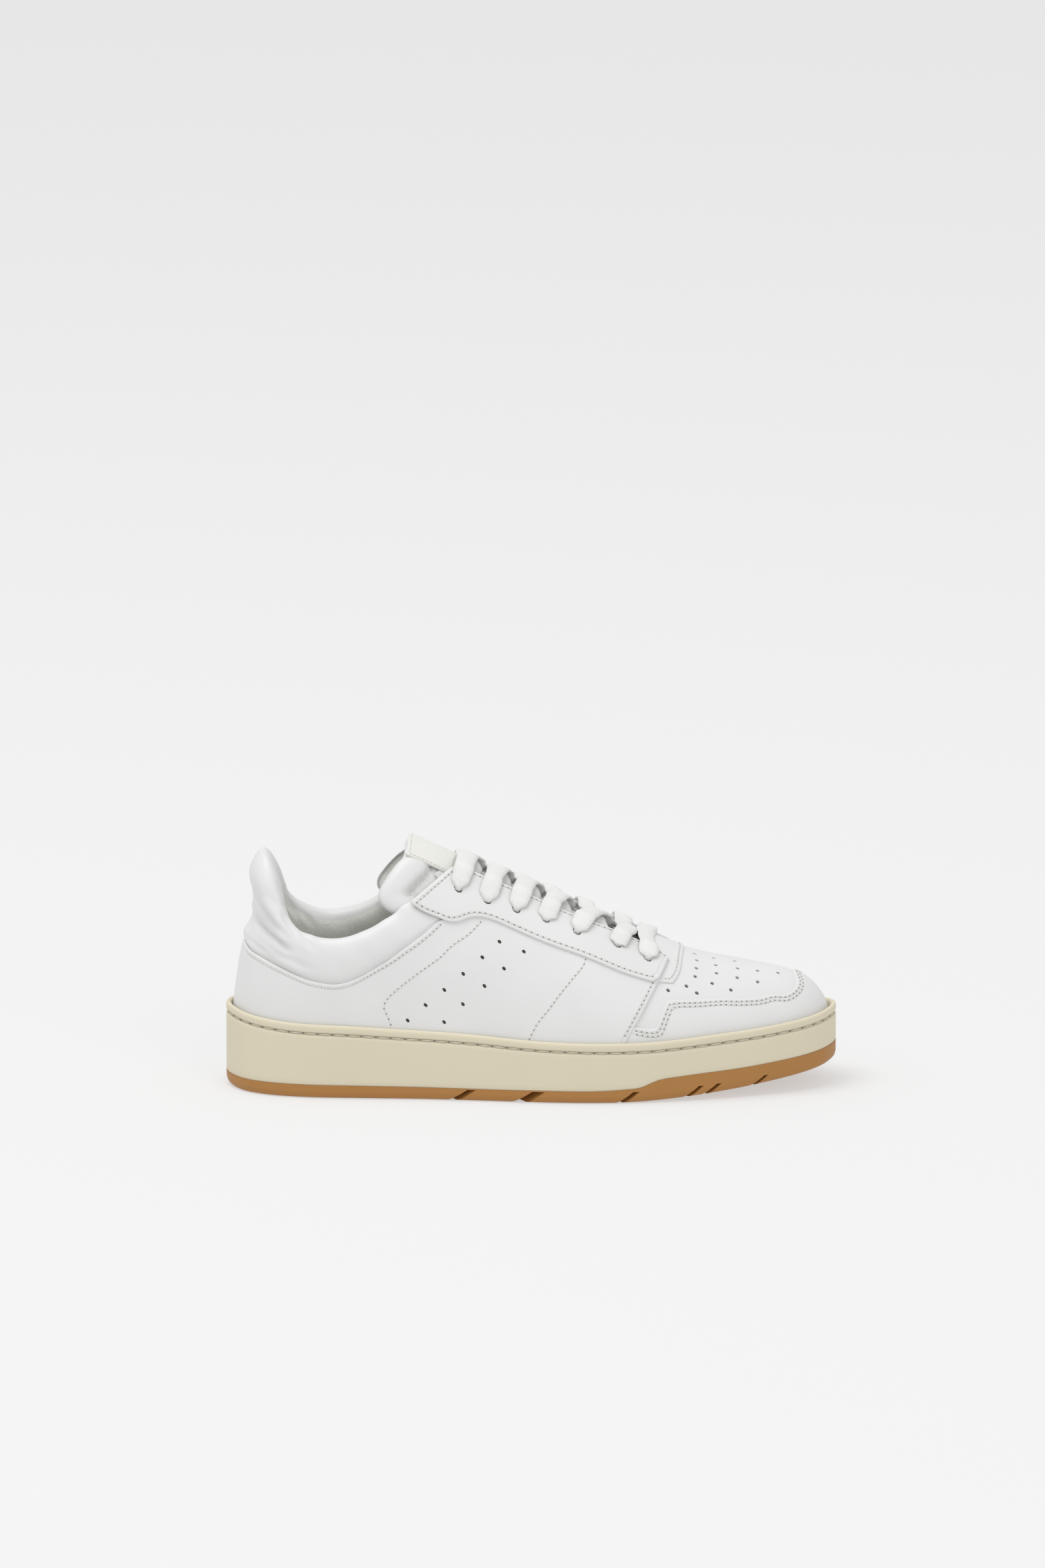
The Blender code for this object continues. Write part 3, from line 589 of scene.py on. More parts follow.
def rubber(name, colour, roughness, speckle=0.02):
    """Moulded rubber with a matt skin and faint flow marks."""
    f = Finish(name, roughness, Specular_IOR_Level=0.35)
    where = f.place()
    fine, cloud = noise(f, where, 1500.0, 2.0), noise(f, where, 30.0, 3.0)
    f.feed("Base Color", f.mix(cloud * 0.8 + fine * 0.2, rgb(colour, 1 - speckle * 2), rgb(colour, 1 + speckle)))
    f.feed("Roughness", fine * 0.14 + (roughness - 0.07))
    f.bump(fine + cloud * 1.5, 0.03, 0.6)
    return f.material


def thread(name, colour):
    f = Finish(name, 0.6, Specular_IOR_Level=0.3)
    where = f.place()
    f.feed("Base Color", f.mix(noise(f, where, 900.0), rgb(colour, 0.86), rgb(colour, 1.04)))
    twist = f.node("ShaderNodeTexWave", {"bands_direction": "DIAGONAL"}, Vector=where, Scale=900.0, Distortion=1.5)
    f.bump(twist, 0.05)
    return f.material


def knit(name, colour, scale, roughness=0.85):
    """A looped lining cloth: small loops with soft shade between them."""
    f = Finish(name, roughness, Sheen_Weight=0.25, Specular_IOR_Level=0.15)
    where = f.place()
    loops = cells(f, where, scale)
    fuzz = noise(f, where, 2600.0, 2.0)
    f.feed("Base Color", f.mix(loops * 0.9 + fuzz * 0.35, rgb(colour, 1.04), rgb(colour, 0.90)))
    f.bump(1.0 - loops + fuzz * 0.3, 0.12, 0.7)
    return f.material


def woven(name, colour, pitch=0.9, deep=0.16):
    """A flat woven tape: slanting picks each way over the piece's own length and width, in millimetres, with painted
    shade where they dip.
    """
    f = Finish(name, 0.8, Specular_IOR_Level=0.2)
    uv = f.node("ShaderNodeUVMap", {"uv_map": "UVMap"})
    parts = f.tree.nodes.new("ShaderNodeSeparateXYZ")
    f.tree.links.new(uv.socket, parts.inputs[0])
    along, across = Value(f, parts.outputs[0]), Value(f, parts.outputs[1])
    turn = 2 * math.pi / pitch
    one = ((along + across) * turn).math("SINE")
    two = ((along - across) * turn).math("SINE")
    weave_height_and_shade = one.math("MAXIMUM", two)
    fuzz = noise(f, f.place(), 2400.0, 2.0)
    # The colour darkens where the weave dips and lightens on the picks: painted shade; the fuzz is the yarn's own
    # uneven tone.
    f.feed("Base Color", f.mix(weave_height_and_shade * 0.3 + fuzz * 0.4 + 0.25, rgb(colour, 0.88), rgb(colour, 1.0)))
    f.bump(weave_height_and_shade + fuzz * 0.4, deep, 0.8)
    return f.material


def make_finishes(p):
    """Every finish on the shoe, by name."""
    return {
        "leather": leather("white_leather", p.leather),
        "soft leather": leather("soft_collar_leather", p.leather, 0.8, 0.4),
        "cream": rubber("cream_rubber", p.rubber, 0.58),
        "gum": rubber("gum_rubber", p.gum, 0.5, 0.04),
        "thread": thread("sewing_thread", p.thread),
        # The needle-hole finish's dark grey is painted shade: it colours flat discs where the holes would lie in
        # shadow.
        "needle hole painted shade": thread("needle_hole_shade", (0.24, 0.24, 0.23)),
        "sole thread": thread("sole_thread", (0.62, 0.57, 0.45)),
        "lace": woven("cotton_lace", p.lace),
        "terry": knit("terry_lining", p.lining, 900.0),
        "lining": knit("mesh_lining", p.lining, 700.0),
        "sock": knit("sock_cloth", (0.78, 0.78, 0.74), 1100.0),
        "label": woven("label_cloth", (0.87, 0.865, 0.82), 0.5, 0.06),
        "foam": knit("open_foam", (0.72, 0.66, 0.42), 1500.0),
        "board": knit("fibre_board", (0.46, 0.38, 0.27), 1800.0, 0.9),
    }


FINISHES = {}


def finish_wedge():
    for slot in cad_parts["midsole_wedge"].material_slots:
        slot.material = FINISHES["foam"]


# ---------------------------------------------------------------- lines and patterns

# Lateral lines as (s, z) in side elevation.
COLLAR_SEAM = (
    (8.6, 71.2), (12.5, 69.3), (19.9, 66.3), (30, 62.1), (40, 58.2), (49.4, 56.4), (56, 56.4), (63, 58.4),
    (71, 62.6), (80, 68), (88.5, 74.2), (97.4, 80.6), (104.3, 86.6),
)
EYESTAY_REAR = ((90.6, 95.3), (97.5, 90.8), (104.9, 87.9))
EYESTAY_LOWER = (
    (110, 86), (115, 86.2), (120.5, 87.8), (126.4, 87.6), (133.7, 85.3), (148.9, 78.7), (161, 74),
    (174.5, 69.2), (192.2, 61.9), (209, 56.2),
)
EYESTAY_TOP = ((90.6, 95.3), (95.5, 99.2), (101.1, 103.4), (106, 107), (110.4, 109.6), (114.5, 109.8))
THROAT_EDGE = (
    (114.5, 109.8), (119.5, 107.8), (124.6, 105.4), (140.1, 98.9), (155.6, 92.2), (170.8, 85.4), (184.2, 80.1),
    (198, 74), (210, 68.5), (216.8, 64.6),
)
QUARTER_FRONT = ((216.8, 64.6), (211.7, 56.1), (204.6, 44), (196.5, 30))
EYELETS = ((113.8, 100.4), (127.9, 94.7), (142.1, 90), (156.4, 85), (171.6, 79), (191, 72.2), (206, 65.3))
MUDGUARD_EDGE = (
    (191, 39), (197, 37.8), (203, 36.6), (207.7, 35.8), (210.9, 36), (213.2, 42), (216, 48.2), (222, 48.5),
    (228, 48.2), (242.3, 48),
    (251, 47.3), (261, 47), (268, 47.9),
)
# (g, t) from there to the toe's middle.
MUDGUARD_ARCH = ((0.838, 0.46), (0.87, 0.51), (0.9, 0.585), (0.925, 0.66), (0.96, 0.73), (0.985, 0.75), (1, 0.752))
QUARTER_PERFORATIONS = (
    (134.4, 76.8), (126.1, 69.7), (116.8, 61.9), (107.6, 54.1), (98.4, 46.6), (89.6, 39), (146.3, 72.2),
    (136.7, 64.5), (127.2, 56.3), (116.7, 47.4), (107.5, 38.5),
)
# (s, y, z)
VAMP_PERFORATIONS = (
    (230.5, 0.4, 64.3), (231, -8.6, 62.9), (231.1, -15.7, 60.4), (230, -21.5, 57.2), (226, -27.2, 53.6),
    (216.4, -31.3, 52.4), (240, 0.4, 62.2), (240.9, -8.8, 60.5), (241, -15.7, 57.7), (238.9, -22.1, 53.9),
    (230.8, -28.4, 50.4), (249.9, 1, 60.4), (251, -8, 58.6), (250.9, -15.2, 55.4), (247.6, -22.4, 50.6),
    (261.1, -6.1, 56.9), (261.1, -13.9, 53), (271.2, -3.6, 55.2),
)
SWOOP = (
    (125.1, 85.7), (119.2, 80.2), (111.1, 74.9), (105.3, 69.4), (95.1, 62.2), (90.7, 58.9), (84.2, 53.8),
    (80, 49.8), (78, 46.5), (78, 44.7), (80, 40.4), (81.1, 37.7), (82, 34),
)
FOREPART_LINE = (
    (176.7, 69.8), (175.3, 65.3), (169.4, 58.8), (163.5, 52), (158.8, 45.8), (152.9, 38.5), (149.4, 31.6),
    (148, 29),
)


def near(s, y, z):
    """The flat position of the foot shape's point nearest to s, y, z."""
    k = np.argmin(np.sum((_grid - (s, y, z)) ** 2, axis=-1))
    return FLAT_XY.reshape(-1, 2)[k]


def flat_spot(s, z, side=1):
    g, t = place(s, z)
    return flatten(side * g, t)[0]


def sole_run(first, last, count):
    """Points along the sole's edge between two stations."""
    return [at_sole(s) for s in np.linspace(first, last, count)]


def side_patterns(side):
    """The outlines of one side's pieces, each a list of sides in (g, t)."""
    seam = side_line(*COLLAR_SEAM[1:])
    rear, top = side_line(*EYESTAY_REAR), side_line(*EYESTAY_TOP)
    throat, lower, front = side_line(*THROAT_EDGE), side_line(*EYESTAY_LOWER), side_line(*QUARTER_FRONT)
    heel = 0.0012  # where the two quarters meet behind
    start = (heel, seam[0][1] + 0.012)
    under = [(g, t - 0.03) for g, t in throat]
    under_top = [(g + 0.003, t - 0.012) for g, t in top[1:-1]]
    tuck = side_line((107.5, 89), (96, 97.5))
    quarter = [[start, *seam], [seam[-1], *tuck], [*tuck[1:], *under_top[1:], *under[1:]], [under[-1], *front[1:]],
               [front[-1], at_sole(192.5)], [*sole_run(192.5, 3, 30), (heel, 0.0)],
               [(heel, 0.0), (heel, start[1] / 2), start]]
    joint = side_line((209, 66.5), (208, 62), (203.3, 56), (193.8, 44), (186, 30))
    rise = [(g, t - 0.045) for g, t in [start, *seam]]
    lining = [rise, [rise[-1], rear[0]], [rear[0], *under_top, *under[1:-1], joint[0]], [*joint, at_sole(184)],
              [*sole_run(184, 3, 30), (heel, 0.0)], [(heel, 0.0), rise[0]]]
    backing = [[rear[0], *under_top, *under[1:-2], *side_line((200, 68))],
               [*side_line((200, 68), (196, 61)), *lower[-3:1:-1], rear[-1]], [rear[-1], rear[0]]]
    front_end = [throat[-1], *side_line((214.5, 61.2), (211.7, 56.6))]
    eyestay = [top, throat, front_end, [*lower[::-1], rear[-1]], rear[::-1]]
    pieces = {"quarter": quarter, "quarter_lining": lining, "eyestay_backing": backing, "eyestay": eyestay}
    return pieces if side > 0 else {kind: mirror_pattern(p) for kind, p in pieces.items()}


def round_toe(g):
    """The sole's edge from one side to the other by way of the toe."""
    return [(a, 0.0) for a in (*np.linspace(-g, -1, 24), *np.linspace(1, g, 24)[1:])]


def across_toe(half):
    """An outline from a lateral half that starts at the sole and ends on the ridge."""
    return [half, *mirror_pattern([half]), round_toe(half[0][0])]


def front_patterns():
    vamp = [at_sole(186.8), *side_line((188.6, 30), (197, 44), (207, 56), (211.6, 62), (213.6, 67)), on_ridge(215)]
    lining = [at_sole(185.2), *side_line((187.2, 30), (195, 44), (204.6, 56), (209.4, 62), (211.6, 67)), on_ridge(213)]
    puff = [at_sole(252), *side_line((254, 40), (258, 50)), (0.86, 0.72), (0.93, 0.84), (1, 0.87)]
    edge_line = [side_line(*part) for part in (MUDGUARD_EDGE[:5], MUDGUARD_EDGE[4:7], MUDGUARD_EDGE[6:])]
    half = [[at_sole(188), edge_line[0][0]], *edge_line]
    half[-1] = half[-1] + list(MUDGUARD_ARCH)
    guard = [*half, *mirror_pattern(half), round_toe(half[0][0][0])]
    return {"vamp": across_toe(vamp), "vamp_lining": across_toe(lining), "mudguard": guard,
            "toe_puff": across_toe(puff)}


# ---------------------------------------------------------------- stitches


class Stitches:
    """Rows of stitches, and flat dark discs of painted shade where the needle goes through between them."""

    def __init__(self):
        self.rows = []

    def add(self, line, lift, pitch=2.8, thick=0.24):
        """A row along a flat line."""
        line = resample(line, pitch)
        ends, out = raised(line, np.full(len(line), lift))
        # The last two numbers: the thread's width against its thickness, and the size of the painted shade at each
        # hole.
        self.rows.append((ends, out, pitch, thick, 1.25, 1.9))

    def make(self, name, finish, body="shoe", nodes=()):
        """The threads, and flat dark discs of painted shade for the holes at their ends: one stretched ball each."""
        # The second kind cuts no hole: each is a flat dark disc of painted shade lying at the surface.
        kinds = ("thread", name, finish, 5), ("hole", name + "_holes", "needle hole painted shade", 4)
        for kind, item_name, item_finish, rings in kinds:
            ball, target = bmesh.new(), bmesh.new()
            bmesh.ops.create_uvsphere(ball, u_segments=8, v_segments=rings, radius=1.0)
            mesh = bpy.data.meshes.new("one")
            ball.to_mesh(mesh)
            ball.free()
            for ends, out, pitch, thick, wide, dot in self.rows:
                last = len(ends) - 1
                for k in range(last if kind == "thread" else last + 1):
                    ahead = ends[min(k + 1, last)]
                    along = ahead - ends[k if kind == "thread" else max(k - 1, 0)]
                    along /= np.linalg.norm(along)
                    across = np.cross(out[k], along)
                    across /= np.linalg.norm(across)
                    if kind == "thread":
                        centre = (ends[k] + ahead) / 2 + out[k] * thick * 0.1
                        size = (pitch * 0.42, thick * wide, thick)
                    else:
                        centre, size = ends[k] - out[k] * 0.02, (thick * dot, thick * dot * 0.85, 0.12)
                    turn = np.eye(4)
                    turn[:3, :3] = np.stack([along, across, np.cross(along, across)], axis=1) * size
                    turn[:3, 3] = centre
                    turn = Matrix(turn)
                    mesh.transform(turn)
                    target.from_mesh(mesh)
                    mesh.transform(turn.inverted())
            bpy.data.meshes.remove(mesh)
            finish_mesh(target, item_name, item_finish, body, nodes if kind == "thread" else (), sharp=SMOOTH)


def inset_line(loop, distance, first, last):
    """The part of a loop between the points nearest two flat spots, moved inwards."""
    area = 0.5 * np.sum(loop[:, 0] * np.roll(loop[:, 1], -1) - np.roll(loop[:, 0], -1) * loop[:, 1])
    along = np.roll(loop, -2, axis=0) - np.roll(loop, 2, axis=0)
    along /= np.linalg.norm(along, axis=1, keepdims=True)
    inwards = np.stack([-along[:, 1], along[:, 0]], axis=1) * (1 if area > 0 else -1)
    moved = loop + inwards * distance
    a = int(np.argmin(np.sum((loop - first) ** 2, axis=1)))
    b = int(np.argmin(np.sum((loop - last) ** 2, axis=1)))
    forward = moved[a : b + 1] if a <= b else np.vstack([moved[a:], moved[: b + 1]])
    backward = moved[b : a + 1] if b <= a else np.vstack([moved[b:], moved[: a + 1]])
    line = forward if len(forward) <= len(backward) else backward
    keep = distance_to(line, loop) > abs(distance) * 0.93
    return line[keep]


# ---------------------------------------------------------------- sole


WALL_STITCH_DROP = 4.6  # from the rim down to the sidewall's groove
INSOLE_INSET = 7.6
UNDER_EDGE = 3.4  # radius of the outsole's bottom edge
NOTCH_LEAN, NOTCH_DEPTH, NOTCH_BELOW = 10.4, 18, 2
# (station, half width, height) of the slanting notches along the outsole's bottom edge.
NOTCHES = (
    (109.7, 2.6, 5.8), (142.4, 3.9, 5.8), (191.6, 2.2, 5.8), (224.1, 1.8, 5.8), (233.1, 1.8, 5.6), (256.6, 1.6, 5.3),
)


def make_sole():
    def groove(s):
        return RIM(s) - WALL_STITCH_DROP

    wall = [(0.9, SPLIT, -0.4), (0.35, SPLIT, 0.15), (0.05, SPLIT, 0.9), (0.0, SPLIT, 3.0),
            (0.0, lambda s: (SPLIT(s) + RIM(s)) / 2, 0.0), (0.0, groove, -2.6), (0.0, groove, -1.25),
            (0.12, groove, -0.95), (0.5, groove, -0.75), (1.0, groove, -0.45), (1.15, groove, 0.0),
            (1.0, groove, 0.45), (0.5, groove, 0.75), (0.12, groove, 0.95), (0.0, groove, 1.25),
            (0.0, RIM, -1.5), (0.14, RIM, -0.85), (0.5, RIM, -0.32), (1.1, RIM, -0.03), (1.5, RIM, 0.0),
            (2.0, RIM, -0.1), (2.35, RIM, -0.4), (2.6, RIM, -1.2), (2.8, RIM, -5), (2.8, FOOT_LEVEL, -3)]
    make_outsole()
    ring_levels(wall, "cupsole", "cream", closed=True, sharp=60)
    sole_stitches(groove)
    ring_levels([(INSOLE_INSET, FOOT_LEVEL, -0.4), (INSOLE_INSET, FOOT_LEVEL, 1.4)], "insole_board", "board")
    make_footbed()


def flat_bed(count, inset, rings, heights):
    """A thickened sheet on the sole's outline; heights gives z from (xy, distance from the edge, on top or not)."""
    loop = np.stack(outline(round_sole(count), inset), axis=1)
    bm = flat_sheet(loop, rings, 4)
    verts, xy, is_top = thicken(bm)
    for v, z in zip(verts, heights(xy, distance_to(xy, loop), is_top)):
        v.co.z = z
    return bm


def make_outsole():
    def heights(xy, d, is_top):
        split = SPLIT(xy[:, 0])
        low = ground(xy[:, 0]) + UNDER_EDGE * (1 - np.sqrt(1 - np.clip(1 - d / UNDER_EDGE, 0, 1) ** 2))
        return np.where(is_top, split, np.minimum(low, split - 0.4))

    bm = flat_bed(420, 0.0, (0.25, 0.7, 1.3, 2.1, 3.4, 6.0), heights)
    cut_notches(finish_mesh(bm, "outsole", "gum", sharp=35))


def make_footbed():
    """The cushioned insole, dished towards its middle."""
    def heights(xy, d, is_top):
        dish = 6.4 - 0.8 * np.clip(1 - d / 1.8, 0, 1) ** 2 - 1.6 * np.clip(d / 30, 0, 1) ** 1.5
        return FOOT_LEVEL(xy[:, 0]) + np.where(is_top, dish, 1.5)

    bm = flat_bed(300, INSOLE_INSET + 0.2, (0.3, 0.9, 1.8, 4.0), heights)
    finish_mesh(bm, "footbed", "sock")


def cut_notches(item):
    bm = bmesh.new()
    for side in (-1, 1):
        for s, half, high in NOTCHES:
            at_s, at_y = outline(side * float(share(s)))
            low = float(ground(s)) - NOTCH_BELOW
            for v in bmesh.ops.create_cube(bm, size=1.0)["verts"]:
                up, across = v.co.z + 0.5, NOTCH_DEPTH * v.co.y
                along = 2 * half * v.co.x * (1 - 0.25 * up) + NOTCH_LEAN * up - 0.5 * across
                v.co = Vector((at_s - LENGTH / 2 + along, at_y + across, low + up * (high + NOTCH_BELOW))) * MM
    bmesh.ops.recalc_face_normals(bm, faces=bm.faces)
    mesh = bpy.data.meshes.new("notch_cutter")
    bm.to_mesh(mesh)
    bm.free()
    cutter = bpy.data.objects.new("notch_cutter", mesh)
    bpy.context.scene.collection.objects.link(cutter)
    carve(item, cutter)


def carve(item, cutter):
    """Cuts one object out of another and drops the cutter."""
    step = item.modifiers.new("cut", "BOOLEAN")
    step.operation, step.solver, step.object = "DIFFERENCE", "EXACT", cutter
    depsgraph = bpy.context.evaluated_depsgraph_get()
    cut = bpy.data.meshes.new_from_object(item.evaluated_get(depsgraph))
    item.modifiers.clear()
    item.data = cut
    bpy.data.objects.remove(cutter)


def sole_stitches(groove):
    """The lockstitch that runs in the sidewall's groove."""
    pitch = 7.2
    g = round_sole(1600)
    (s, y), (outer_s, outer_y) = outline(g, 0.85), outline(g)
    line = np.stack([s, y, groove(s), outer_s - s, outer_y - y, 0 * s], axis=1)
    line = np.vstack([line, line[:1]])
    run = np.concatenate([[0], np.cumsum(np.linalg.norm(np.diff(line[:, :3], axis=0), axis=1))])
    count = int(round(run[-1] / pitch))
    at = np.arange(count + 1) * run[-1] / count
    ends, out = np.split(np.stack([np.interp(at, run, column) for column in line.T], axis=1), 2, axis=1)
    out /= np.linalg.norm(out, axis=1, keepdims=True)
    stitches = Stitches()
    # 0.9 sizes the disc of painted shade at each hole.
    stitches.rows.append((ends, out, pitch, 0.62, 1.0, 0.9))
    stitches.make("sidewall_stitching", "sole thread", nodes=None)


# ---------------------------------------------------------------- upper

# (piece, from, to) of the seams inside each side's edges, as (s, z).
SIDE_SEAMS = (
    ("quarter", (12.5, 69.3), (104.3, 86.6)), ("quarter", (213.5, 59.5), (197.5, 31.5)),
    ("eyestay", (107, 86.8), (209.5, 57)), ("eyestay", (91, 95.6), (114, 109.6)),
    ("eyestay", (116, 109.2), (216, 65)), ("eyestay", (91.5, 94.6), (104.6, 88)),
)


def make_upper():
    stitches = Stitches()
    for side, name in ((1, "lateral"), (-1, "medial")):
        def spot(place_at):
            return flat_spot(*place_at, side)

        loops = {kind: flat_loop(pattern) for kind, pattern in side_patterns(side).items()}
        holes = [(*spot(at), EYELET_RADIUS) for at in EYELETS]
        perforations = [(*spot(at), 0.9) for at in QUARTER_PERFORATIONS]
        for kind, lifts, finish, through, cell in (
            ("quarter", PANEL, "leather", holes + perforations, 2.6), ("quarter_lining", LINING, "lining", holes, 4),
            ("eyestay_backing", BACKING, "lining", holes, 5), ("eyestay", OVERLAY, "leather", holes, 2.6),
        ):
            panel(f"{kind}_{name}", loops[kind], lifts, finish, through, cell)
        for kind, first, last in SIDE_SEAMS:
            lift = (PANEL if kind == "quarter" else OVERLAY)[1] + STITCH_PROUD
            stitches.add(inset_line(loops[kind], SEAM, spot(first), spot(last)), lift)
        for line in (SWOOP, FOREPART_LINE):
            stitches.add(flat_line([(side * g, t) for g, t in side_line(*line)]), PANEL[1] + 0.05)
    make_front(stitches)
    make_heel()
    make_saddle(stitches)
    stitches.make("upper_stitching", "thread")


def make_front(stitches):
    """The vamp, its lining, the mudguard and the toe puff."""
    loops = {kind: flat_loop(pattern) for kind, pattern in front_patterns().items()}
    holes = []
    for s, y, z in VAMP_PERFORATIONS:
        holes.append((*near(s, y, z), 0.95))
        if y < -2:
            holes.append((*near(s, 2 * float(RIDGE_Y(s)) - y, z), 0.95))
    panel("vamp", loops["vamp"], VAMP, "leather", holes, rows=0)
    panel("vamp_lining", loops["vamp_lining"], LINING, "lining", cell=4)
    panel("mudguard", loops["mudguard"], UNDERLAY, "leather", rows=2)
    toe = flatten(1.0, 0.75)[0]
    for distance in (SEAM, SECOND_SEAM):
        for side in (1, -1):
            line = inset_line(loops["mudguard"], distance, flat_spot(201, 37, side), toe)
            stitches.add(line, UNDERLAY[1] + STITCH_PROUD)
    panel("toe_puff", loops["toe_puff"], STIFFENER, "board", slot="lining_cloth", cell=5)


def make_heel():
    """The heel counter and the tape over the heel seam."""
    half = [*side_line((2.5, 56), (14, 56), (30, 55), (60, 50), (80, 38)), at_sole(86)]
    below = sole_run(86, 1, 20)
    counter = [half, below + [(-g, t) for g, t in below[::-1]], *mirror_pattern([half])]
    panel("heel_counter", flat_loop(counter), STIFFENER, "board", cell=5)
    wide, high = 0.045, 0.3
    corners = ((-wide, 0.0), (-wide, high), (wide, high), (wide, 0.0), (-wide, 0.0))
    panel("heel_seam_tape", flat_loop([list(side) for side in zip(corners, corners[1:])]), BACKING, "lining", cell=5)


def make_saddle(stitches):
    """The tab over the throat's front end."""
    saddle = [[on_ridge(208.5), *side_line((208.6, 66), (207.5, 57.6))],
              side_line((207.5, 57.6), (213, 56.4), (219.2, 55.6)),
              [*side_line((219.2, 55.6), (221.6, 58.2), (223.4, 62)), on_ridge(225)]]
    loop = flat_loop([*saddle, *mirror_pattern(saddle)])
    panel("throat_saddle", loop, UNDERLAY, "leather")
    line = inset_line(loop, SEAM, flat_spot(216, 56.4), flat_spot(216, 56.4, -1))
    stitches.add(line, UNDERLAY[1] + STITCH_PROUD, 2.0, 0.17)


# ---------------------------------------------------------------- collar, tongue and lace

# (seam s, seam z, top s, top y, top z, share of the horn's profile, thickness share)
COLLAR = (
    (106.6, 88.6, 91.2, -24.3, 95.9, 0.0, 0.24), (101.4, 85.0, 86.6, -24.6, 93.6, 0.0, 0.42),
    (96.0, 80.6, 82.8, -25.2, 90.2, 0.0, 0.6), (88.3, 75.0, 78.0, -26.0, 87.2, 0.0, 0.8),
    (79.8, 68.8, 70.5, -26.8, 82.8, 0.0, 1.0),
    (70.8, 63.4, 62.0, -27.2, 79.6, 0.0, 1.0), (60.5, 58.2, 52.5, -27.0, 77.8, 0.0, 1.0),
    (48.5, 57.2, 43.5, -26.2, 79.0, 0.0, 1.0), (37.5, 60.0, 35.5, -25.2, 82.6, 0.06, 1.0),
    (28.5, 63.5, 30.2, -23.4, 88.3, 0.22, 1.0), (21.0, 66.6, 26.6, -20.8, 97.0, 0.5, 1.0),
    (15.8, 68.6, 23.4, -16.2, 108.0, 0.8, 1.0), (12.5, 70.2, 20.4, -9.4, 115.0, 0.95, 1.0),
    (8.7, 72.0, 18.6, 0.0, 117.4, 1.0, 1.0),
)
MEDIAL_RISE = 4.0
# (share of the height, distance outwards) round the section: up the outside, over the top and down the inside.
ROLL = ((-0.1, -0.9), (-0.01, 0.1), (0.06, 1.5), (0.2, 2.6), (0.45, 3.5), (0.72, 3.5), (0.93, 1.9), (1, -1.4),
        (0.93, -5.2), (0.72, -7.6), (0.45, -7.6), (0.2, -5.8), (0.0, -4.1), (-0.16, -3.6))
HORN = ((-0.05, -0.9), (0.0, 0.1), (0.04, 1.2), (0.11, 1.6), (0.25, -0.7), (0.5, 0.8), (0.76, 5.0), (1, 0.5),
        (0.84, -7.2), (0.58, -9.8), (0.34, -9.2), (0.13, -6.0), (0.0, -4.1), (-0.08, -3.6))


def collar_section(row, medial):
    seam_s, seam_z, top_s, top_y, top_z, horn, thick = row
    g, t = place(seam_s, seam_z) if seam_s > 8.7 else (0.0, rise_to(0.0, seam_z))
    side = -1 if medial else 1
    out = outwards(side * g, t)
    start = foot(side * g, t) + out * 0.4
    top = np.array([top_s, side * top_y, top_z + (MEDIAL_RISE * (1 - horn) if medial else 0)])
    chord = top - start
    height = np.linalg.norm(chord)
    up = chord / height
    out = out - up * out.dot(up)
    out /= np.linalg.norm(out)
    points = []
    for (a1, b1), (a2, b2) in zip(ROLL, HORN):
        a, b = a1 + (a2 - a1) * horn, b1 + (b2 - b1) * horn
        b = b * thick if b > 0 or a > 0.1 else b
        if b < -4.1 and thick < 1:
            b = max(b, -4.4)
        points.append(start + up * a * height + out * b)
    return points


def make_collar():
    """The padded collar, drawn round the ankle and creased where it turns up into the heel horn."""
    rows = [(row, False) for row in COLLAR] + [(row, True) for row in COLLAR[-2::-1]]
    sections = open_spline([collar_section(row, medial) for row, medial in rows], 7)
    per = 4
    sections = np.array([close_spline(section, per) for section in sections])
    item = finish_mesh(draw_out(sections), "collar_cover", "soft leather", nodes=("collar_cover", "collar_foam"),
                       sharp=SMOOTH)
    item.data.materials.append(FINISHES["terry"])
    around, inside = len(sections[0]), per * 8 + 2
    for face in item.data.polygons:
        if len(face.vertices) == 4 and all(v % around >= inside for v in face.vertices):
            face.material_index = 1
    crease(item)


def crease(item):
    """Presses wrinkles into the collar: (s, z) from, (s, z) to, half width and depth, on either side."""
    mesh = item.data
    co, normals = np.empty((2, len(mesh.vertices), 3))
    mesh.vertices.foreach_get("co", co.ravel())
    mesh.vertices.foreach_get("normal", normals.ravel())
    co = co / MM
    s, z = co[:, 0] + LENGTH / 2, co[:, 2]
    move = np.zeros(len(co))
    for (s1, z1), (s2, z2), half, deep in CREASES:
        along = np.array([s2 - s1, z2 - z1], float)
        length = np.linalg.norm(along)
        along /= length
        u = (s - s1) * along[0] + (z - z1) * along[1]
        v = -(s - s1) * along[1] + (z - z1) * along[0]
        fade = np.clip(u / (0.25 * length), 0, 1) * np.clip((length - u) / (0.3 * length), 0, 1)
        move -= deep * np.exp(-((v / half) ** 2)) * fade
        move += 0.5 * deep * np.exp(-(((np.abs(v) - 2.2 * half) / half) ** 2)) * fade
    move += 0.16 * np.sin(s / 3.1 + z / 4.7) * np.sin(z / 3.7 - co[:, 1] / 5.0)
    co += normals * move[:, None]
    mesh.vertices.foreach_set("co", (co * MM).ravel())
    mesh.update()


CREASES = (
    ((11, 86), (34, 71), 1.2, 2.1), ((14, 94), (28, 79), 1.5, 1.5), ((18, 101), (28, 91), 1.4, 0.8),
    ((27, 91), (37, 76), 1.0, 0.9), ((32, 86), (45, 72), 1.2, 0.6), ((24, 71), (44, 63), 1.4, 0.5),
    ((9, 76), (22, 69), 1.2, 0.6),
)


